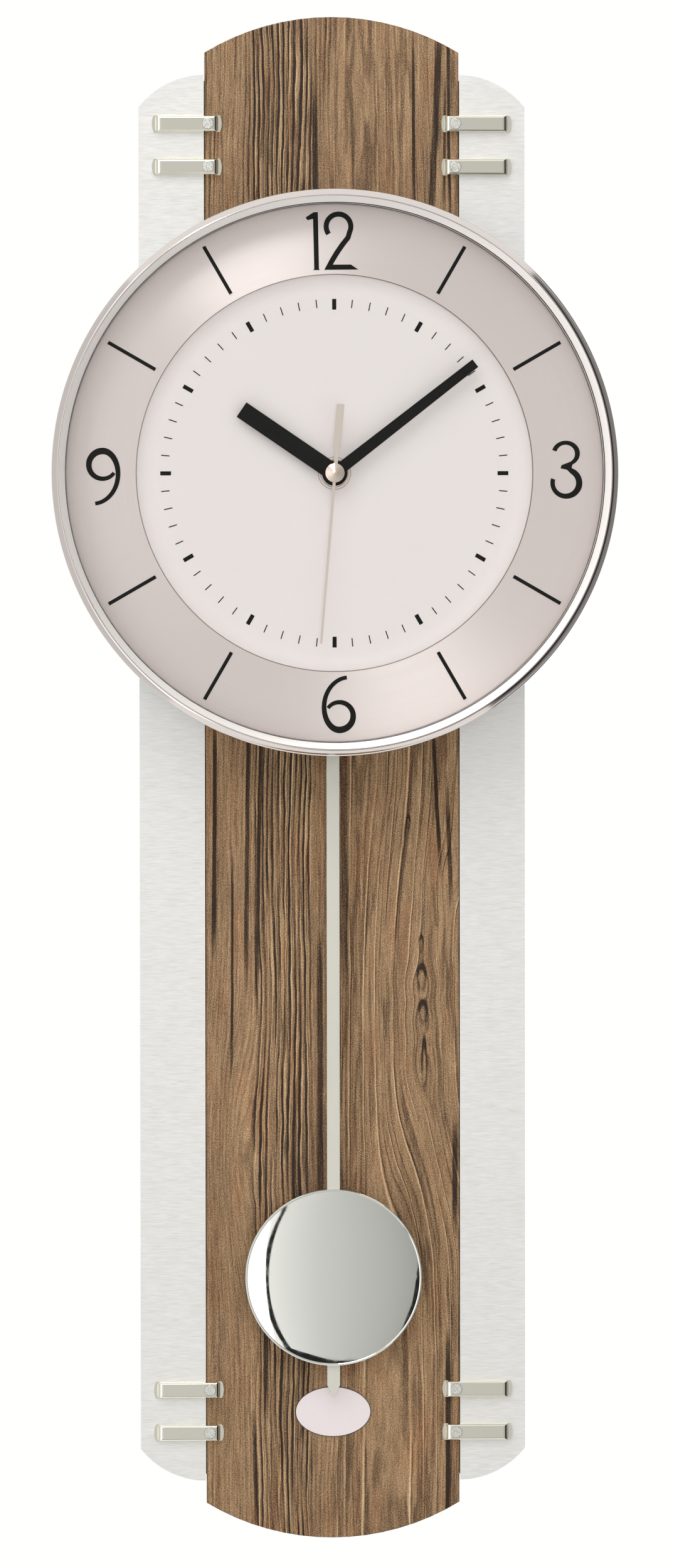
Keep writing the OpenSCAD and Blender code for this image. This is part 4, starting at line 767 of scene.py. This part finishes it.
def points_middle(points):
    low = Vector(min(p[axis] for p in points) for axis in range(3))
    high = Vector(max(p[axis] for p in points) for axis in range(3))
    return (low + high) / 2


# Numerals, minute track and bare plate


def numeral_one():
    return [(-6.41, 101.25), (-8.03, 101.25), (-11.2, 99.2), (-10.45, 98.1), (-8.3, 98.65), (-7.85, 79.2),
            (-8.4, 78.8), (-5.6, 78.8), (-6.0, 79.2)]


def numeral_two():
    hook = arc((1.6, 95.7), (4.8, 4.8), 217, -25, 26)
    stem = [(5.3, 91.4), (3.2, 88.8), (1.0, 85.6), (-0.7, 82.8)]
    stroke = hook + stem
    body = ribbon(stroke, [2.0] * len(hook) + [2.05] * len(stem))
    foot = [(-0.6, 80.9), (6.4, 80.95), (9.3, 79.0), (-3.95, 78.9)]
    return body[:len(stroke)] + foot + body[len(stroke):]


def numeral_three():
    outer_top = arc((90.0, 7.6), (5.5, 4.95), 165, -62, 22)
    outer_low = arc((90.2, -3.9), (6.25, 6.15), 70, -198, 30)
    inner_low = arc((89.85, -3.9), (4.15, 4.15), -198, 60, 30)
    inner_top = arc((89.9, 7.4), (3.65, 3.55), -60, 165, 22)
    middle = [(90.5, 1.2), (87.9, 1.8), (88.35, 3.05)]
    return outer_top + [(92.3, 2.2)] + outer_low + inner_low + middle + inner_top


def numeral_six():
    """Stroke that swells round the bowl and thins towards its tip."""
    bowl = arc((1.7, -94.45), (5.4, 5.4), 145, -90, 26)
    low = arc((1.7, -91.0), (5.95, 8.85), -90, -180, 12)[1:]
    stem = arc((5.5, -91.0), (9.75, 11.6), 180, 95, 18)[1:]
    widths = []
    for index in range(len(bowl)):
        share = index / (len(bowl) - 1)
        widths.append(1.45 + 1.1 * min(1.0, share * 1.1))
    for index in range(len(low)):
        widths.append(2.55 - 0.7 * (index + 1) / len(low))
    for index in range(len(stem)):
        widths.append(1.85 - 0.35 * (index + 1) / len(stem))
    return ribbon(bowl + low + stem, widths)


def numeral_nine():
    six_middle = (1.4, -90.0)
    nine_middle = (-89.85, -1.2)
    return [(x + nine_middle[0] - six_middle[0], y + nine_middle[1] - six_middle[1])
            for x, y in turned_outline(numeral_six(), 180, six_middle)]


def dial_print(black):
    """Numerals on the chapter ring and the minute track on the dial."""
    numerals = {"numeral_12": [numeral_one(), numeral_two()], "numeral_3": [numeral_three()],
                "numeral_6": [numeral_six()], "numeral_9": [numeral_nine()]}
    for name, outlines in numerals.items():
        piece = solid_piece(name, outlines, on_dial, ring_face, ring_face + numeral_t, black, "body")
        soften(piece, 0.04, 1)
    marks = []
    for minute in range(60):
        on_hour = minute % 5 == 0
        half = (block_w if on_hour else tick_w) / 2
        inner = block_inner_r if on_hour else tick_inner_r
        marks.append(turned_outline(box_outline(-half, half, inner, tick_outer_r), -6 * minute))
    solid_piece("minute_track", marks, on_dial, dial_face, dial_face + print_t, black, "body")


def ellipse(width, height, steps=72):
    return arc((0.0, 0.0), (width / 2, height / 2), 0, 360 - 360 / steps, steps - 1)


def bare_plate(lacquer, black):
    """The oval plate behind the tip of the pendulum rod, without any print."""
    def place(x, y, depth):
        return on_panel(x, plate_z + y, depth)
    face = solid_piece("oval_plate", [ellipse(plate_w - 2 * plate_rim, plate_h - 2 * plate_rim)], place,
                       panel_face, panel_face + plate_t, lacquer, "body")
    soften(face, 0.1)
    rim = solid_piece("oval_plate_rim", [ellipse(plate_w, plate_h)], place, panel_face,
                      panel_face + 0.7 * plate_t, black, "body")
    soften(rim, 0.05, 1)


def bar_studs(names):
    """A small flush disc near the inner end of each bar, turned bright, in a thin dark ring that is painted
    shade for the gap round it.
    """
    faces, shade_rings = [], []
    front = -min(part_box(name)[0].y for name in names) / MM
    for name in names:
        low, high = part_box(name)
        side = 1 if low.x > 0 else -1
        middle = (side * stud_x, (low.z + high.z) / 2 / MM)
        faces.append(arc(middle, (stud_r, stud_r), 0, 350, 35))
        shade_rings.append(arc(middle, (stud_r + stud_shade_ring, stud_r + stud_shade_ring), 0, 350, 35))
    bright = solid_piece("bar_studs", faces, on_panel, front - 0.4, front + 0.1, stud_metal(), "body")
    soften(bright, 0.06)
    # Painted shade: a darker disc just behind each stud shows as a ring where the gap would lie in shade
    dark = grained("stud_shade_ring", srgb(120, 118, 108), grain=3, depth=0.01)
    solid_piece("bar_stud_shade_rings", shade_rings, on_panel, front - 0.4, front + 0.03, dark, "body")


def turned(name, profile, middle, steps, material, body):
    """A closed (radius, depth) profile in millimetres, turned about the axis that points at the viewer."""
    bm = bmesh.new()
    rings = []
    for turn in range(steps):
        angle = 2 * math.pi * turn / steps
        c, s = math.cos(angle) * MM, math.sin(angle) * MM
        rings.append([bm.verts.new((middle[0] + c * radius, -depth * MM, middle[1] + s * radius))
                      for radius, depth in profile])
    for turn, ring in enumerate(rings):
        after = rings[(turn + 1) % steps]
        for index in range(len(profile)):
            beside = (index + 1) % len(profile)
            bm.faces.new((ring[index], after[index], after[beside], ring[beside]))
    bmesh.ops.recalc_face_normals(bm, faces=bm.faces)
    for face in bm.faces:
        face.smooth = True
    piece = made_of(name, bm, material)
    piece.data.set_sharp_from_angle(angle=math.radians(24))
    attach(piece, body)
    return piece


def rolled_rim(metal):
    """The bob's rolled edge: a thin round bead about its outline."""
    reach = (bob_high.x - bob_low.x) / 2 / MM - bead_r
    bead = arc((reach, bead_depth), (bead_r, bead_r), 0, 330, 11)
    turned("bob_rim", bead, (bob_x, bob_z), 144, metal, "pendulum")


def bezel_ring(metal):
    """The bezel: satin slope, ridge, fine groove and a polished bevel that rounds over to the skirt."""
    reaches = [math.hypot(v.co.x - dial_x, v.co.z - dial_z) for v in nodes["bezel"].data.vertices]
    bore_r = min(reaches) / MM
    outer_r = (bezel_high.x - bezel_low.x) / 2 / MM
    ridge = -bezel_low.y / MM
    skirt_back = -bezel_high.y / MM
    skirt_r = outer_r - skirt_t
    bore = [(bore_r, glass_front), (bore_r, ridge - 1.15)]
    slope = [(bore_r + 0.1, ridge - 1.05), (bevel_r - 0.22, ridge - 0.06)]
    crest = [(bevel_r - 0.12, ridge), (bevel_r - 0.03, ridge - 0.03), (bevel_r, ridge - 0.12)]
    groove = [(bevel_r + 0.02, ridge - groove_d), (bevel_r + 0.14, ridge - groove_d)]
    step = [(bevel_r + 0.18, ridge - step_d), (bevel_r + 0.3, ridge - step_d)]
    bevel_middle = (outer_r - bevel_curve_r, ridge - step_d - 0.23 - bevel_curve_r)
    bevel = arc(bevel_middle, (bevel_curve_r, bevel_curve_r), 61, 29, 12)
    edge = [(outer_r - 0.16, ridge - 3.35), (outer_r, ridge - 3.9)]
    skirt = [(outer_r, skirt_back), (skirt_r, skirt_back), (skirt_r, glass_front)]
    profile = bore + slope + crest + groove + step + bevel + edge + skirt
    piece = turned("bezel_ring", profile, (dial_x, dial_z), 360, metal, "body")
    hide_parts("bezel")


# Screws


def cross_recesses(node, arm_share=0.62, width_share=0.2, depth=0.9):
    """Cuts a cross recess into each screw head of a node, by a hidden cutter on the node's modifiers."""
    bm = bmesh.new()
    for points in islands(node):
        middle = points_middle(points)
        reach = {}
        for point in points:
            radius = math.hypot(point.x - middle.x, point.z - middle.z)
            key = round(point.y, 5)
            reach[key] = max(reach.get(key, 0.0), radius)
        low, high = min(reach), max(reach)
        near_low = max(r for y, r in reach.items() if y < low + 0.3 * (high - low))
        near_high = max(r for y, r in reach.items() if y > high - 0.3 * (high - low))
        to_wall = near_high > near_low
        top = high if to_wall else low
        head_r = max(near_low, near_high)
        sign = 1 if to_wall else -1
        for turn in (0, 90):
            arm = turned_outline(box_outline(-arm_share * head_r, arm_share * head_r,
                                             -width_share * head_r / 2, width_share * head_r / 2), turn + 20)

            def place(x, y, depth_y):
                return Vector((middle.x + x, depth_y, middle.z + y))
            raise_outline(bm, arm, place, top + sign * 0.2 * MM, top - sign * depth * MM)
    cutter = made_of(node + "_cutter", bm)
    cutter.hide_render = True
    cutter.hide_viewport = True
    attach(cutter, "body")
    weld(nodes[node])
    cut = nodes[node].modifiers.new("recess", "BOOLEAN")
    cut.operation = "DIFFERENCE"
    cut.solver = "EXACT"
    cut.use_self = True
    cut.object = cutter


# Dressing the parts


def dress(material, *names):
    """Gives one material to all of the named nodes."""
    for name in names:
        slots = nodes[name].material_slots
        if not slots:
            nodes[name].data.materials.append(material)
        for slot in slots:
            slot.material = material


def dress_panel():
    """Panel, plates and bars."""
    dress(wood(), "wood_panel")
    dress(brushed_plate(), "side_plate_left", "side_plate_right")
    bars = ["bar_%s_%s_%s" % (end, side, row) for end in ("top", "bottom") for side in ("left", "right")
            for row in ("upper", "lower")]
    dress(chrome("bar_chrome", srgb(236, 234, 219), 0.05), *bars)
    bar_studs(bars)
    lacquer = grained("plate_lacquer", srgb(236, 226, 226), roughness=0.3, grain=2, depth=0.01, tone=0.02)
    bare_plate(lacquer, grained("plate_edge", srgb(70, 58, 50), grain=2, depth=0.01))


def dress_pendulum():
    """Bob's face and rim, rod, arm and pin."""
    bob_chrome = chrome("bob_chrome", srgb(239, 239, 232), 0.04)
    dress(bob_chrome, "bob_shell")
    rolled_rim(bob_chrome)
    dress(grained("rod_satin", srgb(216, 213, 201), metallic=0.3, roughness=0.4, grain=(4, 4, 0.05),
                  depth=0.01, tone=0.04), "pendulum_rod")
    dress(grained("pin_steel", srgb(212, 213, 216), metallic=1.0, roughness=0.15, grain=(3, 0.5, 3),
                  depth=0.01), "pendulum_pin")
    dress(grained("white_moulding", srgb(236, 235, 230), roughness=0.45, grain=3, tone=0.04),
          "pendulum_hanger")


def dress_clock():
    """Bezel, glass, dial, ring, hands and what shows in the dial's middle."""
    black = grained("black_lacquer", srgb(18, 18, 16), grain=2, depth=0.01, tone=0.3,
                    Specular_IOR_Level=0.12)
    bezel_ring(bezel_metal())
    dress(glass(), "glass")
    dress(spacer_paint_and_shade(), "spacer_ring")
    dress(turned_ring(), "chapter_ring")
    dress(dial_lacquer(), "dial_plate")
    dress(black, "hour_markers", "hour_hand", "minute_hand")
    dress(grained("second_lacquer", srgb(208, 194, 184), roughness=0.4, grain=3, depth=0.01, tone=0.05),
          "second_hand")
    dress(hub_polish(), "hub_cap")
    dress(washer_face(), "fixing_nut", "fixing_washer")
    dial_print(black)


def dress_back():
    """What shows from the sides and from behind."""
    zinc_screws = ("bar_screws", "panel_screws", "case_screws", "cover_screws")
    dress(grained("silver_paint", srgb(198, 199, 200), metallic=0.75, roughness=0.42, grain=5, depth=0.01,
                  tone=0.08), "case_drum", "bob_back")
    dress(grained("fibreboard", srgb(52, 48, 45), roughness=0.85, grain=(0.9, 0.9, 2.4), depth=0.08,
                  tone=0.4), "carrier_board")
    dress(grained("zinc", srgb(182, 185, 188), metallic=1.0, roughness=0.38, grain=0.35, depth=0.01,
                  tone=0.14), "hanger_plate", *zinc_screws)
    dress(grained("yellow_zinc", srgb(200, 176, 108), metallic=1.0, roughness=0.35, grain=0.8, depth=0.01,
                  tone=0.2), "hanger_screws")
    dress(grained("rubber", srgb(42, 42, 42), roughness=0.8, grain=2.5, depth=0.04), "wall_pads",
          "rubber_gasket")
    for node in zinc_screws + ("hanger_screws",):
        cross_recesses(node)


def dress_movement():
    """Housing, wheels, motors, aerial, magnets, board, battery and keys."""
    dress(grained("black_moulding", srgb(46, 46, 48), roughness=0.55, grain=3.5, depth=0.05),
          "movement_housing", "movement_cover")
    dress(grained("acetal", srgb(236, 235, 228), roughness=0.42, grain=1.5, depth=0.01, tone=0.05,
                  Subsurface_Weight=0.15), "gear_plate", "hour_wheel", "motion_wheel", "minute_wheel",
          "third_wheel", "second_wheel", "intermediate_wheel")
    dress(grained("sintered", srgb(92, 92, 96), metallic=0.4, roughness=0.6, grain=4, depth=0.03),
          "minute_rotor", "second_rotor", "ferrite_rod", "pendulum_magnet")
    dress(grained("punched_steel", srgb(178, 178, 182), metallic=1.0, roughness=0.35, grain=(0.4, 3, 3),
                  depth=0.01), "motor_stators")
    copper = srgb(206, 118, 62)
    dress(wound("motor_wire", copper, 2, 0.12), "motor_coils")
    dress(wound("drive_wire", copper, 1, 0.15), "drive_coil")
    dress(wound("aerial_wire", copper, 0, 0.3), "antenna_coil")
    dress(solder_mask(), "circuit_board")
    dress(battery_sleeve(), "battery")
    dress(grained("nickel_strip", srgb(212, 209, 204), metallic=1.0, roughness=0.25, grain=2, depth=0.01),
          "battery_contacts")
    dress(grained("grey_key", srgb(205, 205, 205), roughness=0.3, grain=2, depth=0.01), "set_button")
    dress(grained("red_key", srgb(196, 66, 52), roughness=0.3, grain=2, depth=0.01), "receive_button")


# Studio: camera, floor, lamps and what the polished parts reflect


def make_camera():
    """The photograph's own camera, found from the clock's corners in a frame of 1073 by 2499 pixels."""
    yaw, pitch, roll = (math.radians(angle) for angle in camera_turn)
    forward = Vector((math.sin(yaw) * math.cos(pitch), math.cos(yaw) * math.cos(pitch), math.sin(pitch)))
    level = Vector((math.cos(yaw), -math.sin(yaw), 0.0))
    over = level.cross(forward)
    right = level * math.cos(roll) + over * math.sin(roll)
    up = over * math.cos(roll) - level * math.sin(roll)
    data = bpy.data.cameras.new("camera")
    data.lens = camera_lens
    data.clip_end = 20.0
    camera = link("camera", data)
    turn = Matrix((right, up, -forward)).transposed().to_4x4()
    camera.matrix_world = Matrix.Translation(camera_place) @ turn
    bpy.context.scene.camera = camera


def aim(item, place, target):
    item.location = place
    item.rotation_euler = (Vector(target) - Vector(place)).to_track_quat("-Z", "Y").to_euler()


def lamp(name, place, target, size, share):
    """Area light that lights a white surface facing it to the given share of full white."""
    distance = (Vector(target) - Vector(place)).length
    data = bpy.data.lights.new(name, "AREA")
    data.shape = "RECTANGLE"
    data.size, data.size_y = size
    data.energy = math.pi ** 2 * distance ** 2 * share
    item = link(name, data)
    aim(item, place, target)
    item.visible_glossy = False


def softbox(reach, drop, foot_x, right, low):
    """Outline of a broad softbox, in metres right and up of the bob. Its left edge bows, its foot levels out
    at the low height as far as foot_x, and the given points make its right edge."""
    left = arc((0.9, -0.255 - drop), (reach, 2.76), 134, 210, 24)
    return left + [(-0.42, 0.89 * low), (0.1, low), (foot_x, low)] + right


def card(name, place, target, outline, stops):
    """Card that only reflections show. Its level runs through (metres right of its middle, level) stops."""
    material = bpy.data.materials.new(name)
    material.use_nodes = True
    g = Graph(material.node_tree)
    half_w = max(x for x, y in outline)
    place_on_card = g.node("ShaderNodeTexCoord").outputs["Object"]
    across = g.node("ShaderNodeSeparateXYZ", {0: place_on_card}).outputs[0]
    share = g.step(across, -half_w, half_w, smooth=False)
    peak = max(level for x, level in stops)
    tones = []
    for x, level in stops:
        grey = level / peak
        tones.append(((x + half_w) / (2 * half_w), (grey, grey, grey, 1.0)))
    light = g.node("ShaderNodeEmission", {0: g.ramp(share, *tones), 1: peak})
    g.node("ShaderNodeOutputMaterial", {0: light.outputs[0]})
    item = flat_card(name, outline, material)
    aim(item, place, target)
    item.visible_camera = False
    item.visible_diffuse = False
    item.visible_shadow = False
    item.visible_transmission = False


def even(level):
    """Stops of a card that is equally bright all over."""
    return ((0.0, level), (0.2, level))


def make_floor():
    """Pale round floor under the clock."""
    paint = grained("floor_paint", srgb(247, 247, 246), roughness=0.7, grain=0.02, depth=0.0, tone=0.01)
    floor = flat_card("floor", arc((0, 0), (1.2, 1.2), 0, 355, 71), paint)
    floor.location = (0.0, -0.2, -0.75)
    floor.visible_glossy = False


def make_world():
    """White to the camera, to metal and to glass, and a softer level for the light on matt surfaces."""
    world = bpy.data.worlds.new("studio")
    bpy.context.scene.world = world
    world.use_nodes = True
    g = Graph(world.node_tree)
    path = g.node("ShaderNodeLightPath")
    seen = g.calc("MAXIMUM", path.outputs["Is Camera Ray"], path.outputs["Is Glossy Ray"])
    seen = g.calc("MAXIMUM", seen, path.outputs["Is Transmission Ray"])
    strength = g.step(seen, 0.0, 1.0, matt_level, seen_level, smooth=False)
    sky = g.node("ShaderNodeBackground", {0: (1.0, 1.0, 0.99, 1.0), 1: strength})
    g.node("ShaderNodeOutputWorld", {0: sky.outputs[0]})


def make_lamps():
    """Soft lamps, which light matt surfaces and don't show in polished ones."""
    middle = (0.0, -0.03, -0.25)
    lamp("key", (-0.6, -1.8, 1.2), middle, (2.4, 1.8), 0.36)
    lamp("fill", (0.9, -2.0, -0.3), middle, (2.0, 2.0), 0.16)
    lamp("front", (-0.08, -3.2, -0.19), middle, (0.8, 0.8), 0.16)
    lamp("back", (0.7, 2.2, 0.6), middle, (2.0, 2.0), 0.3)


def make_cards():
    """What the bob, the bars and the bezel mirror: a softbox in a dark frame, boxes beside, a light above."""
    bob_right = [(1.46, -1.28), (1.62, -0.75), (1.68, -0.17), (1.76, 0.34), (2.1, 1.72)]
    front = softbox(1.95, 0.0, 1.33, bob_right, -1.94)
    around = softbox(2.085, 0.07, 2.9, [(2.9, 1.72)], -2.9)
    card("front_card", (0.0, -1.535, bob_z), (0.0, 0.0, bob_z), front,
         ((-1.1, 0.95), (-0.7, 0.82), (-0.2, 0.68), (0.4, 0.58), (1.6, 0.42)))
    card("dark_frame", (0.0, -1.55, bob_z), (0.0, 0.0, bob_z), around, even(0.02))
    card("left_box", (-1.14, -1.04, -0.45), (0.0, -0.035, -0.45), box_outline(-0.315, 0.315, -1.8, 1.8),
         even(1.9))
    card("left_dim", (-1.5, 0.05, -0.45), (0.0, 0.05, -0.45), box_outline(-0.75, 0.75, -1.8, 1.8),
         even(0.74))
    card("right_dark", (1.5, -0.05, -0.45), (0.0, -0.05, -0.45), box_outline(-0.85, 0.85, -1.8, 1.8),
         ((-0.85, 0.03), (-0.35, 0.05), (-0.1, 0.26), (0.85, 0.26)))
    card("top_light", (-0.62, -1.45, 1.5), (0.0, -0.05, dial_z), box_outline(-0.62, 0.62, -0.42, 0.42),
         even(9.5))


make_camera()
dress_panel()
dress_clock()
dress_pendulum()
dress_back()
dress_movement()
make_world()
make_floor()
make_lamps()
make_cards()
bpy.context.scene.view_settings.view_transform = "Standard"
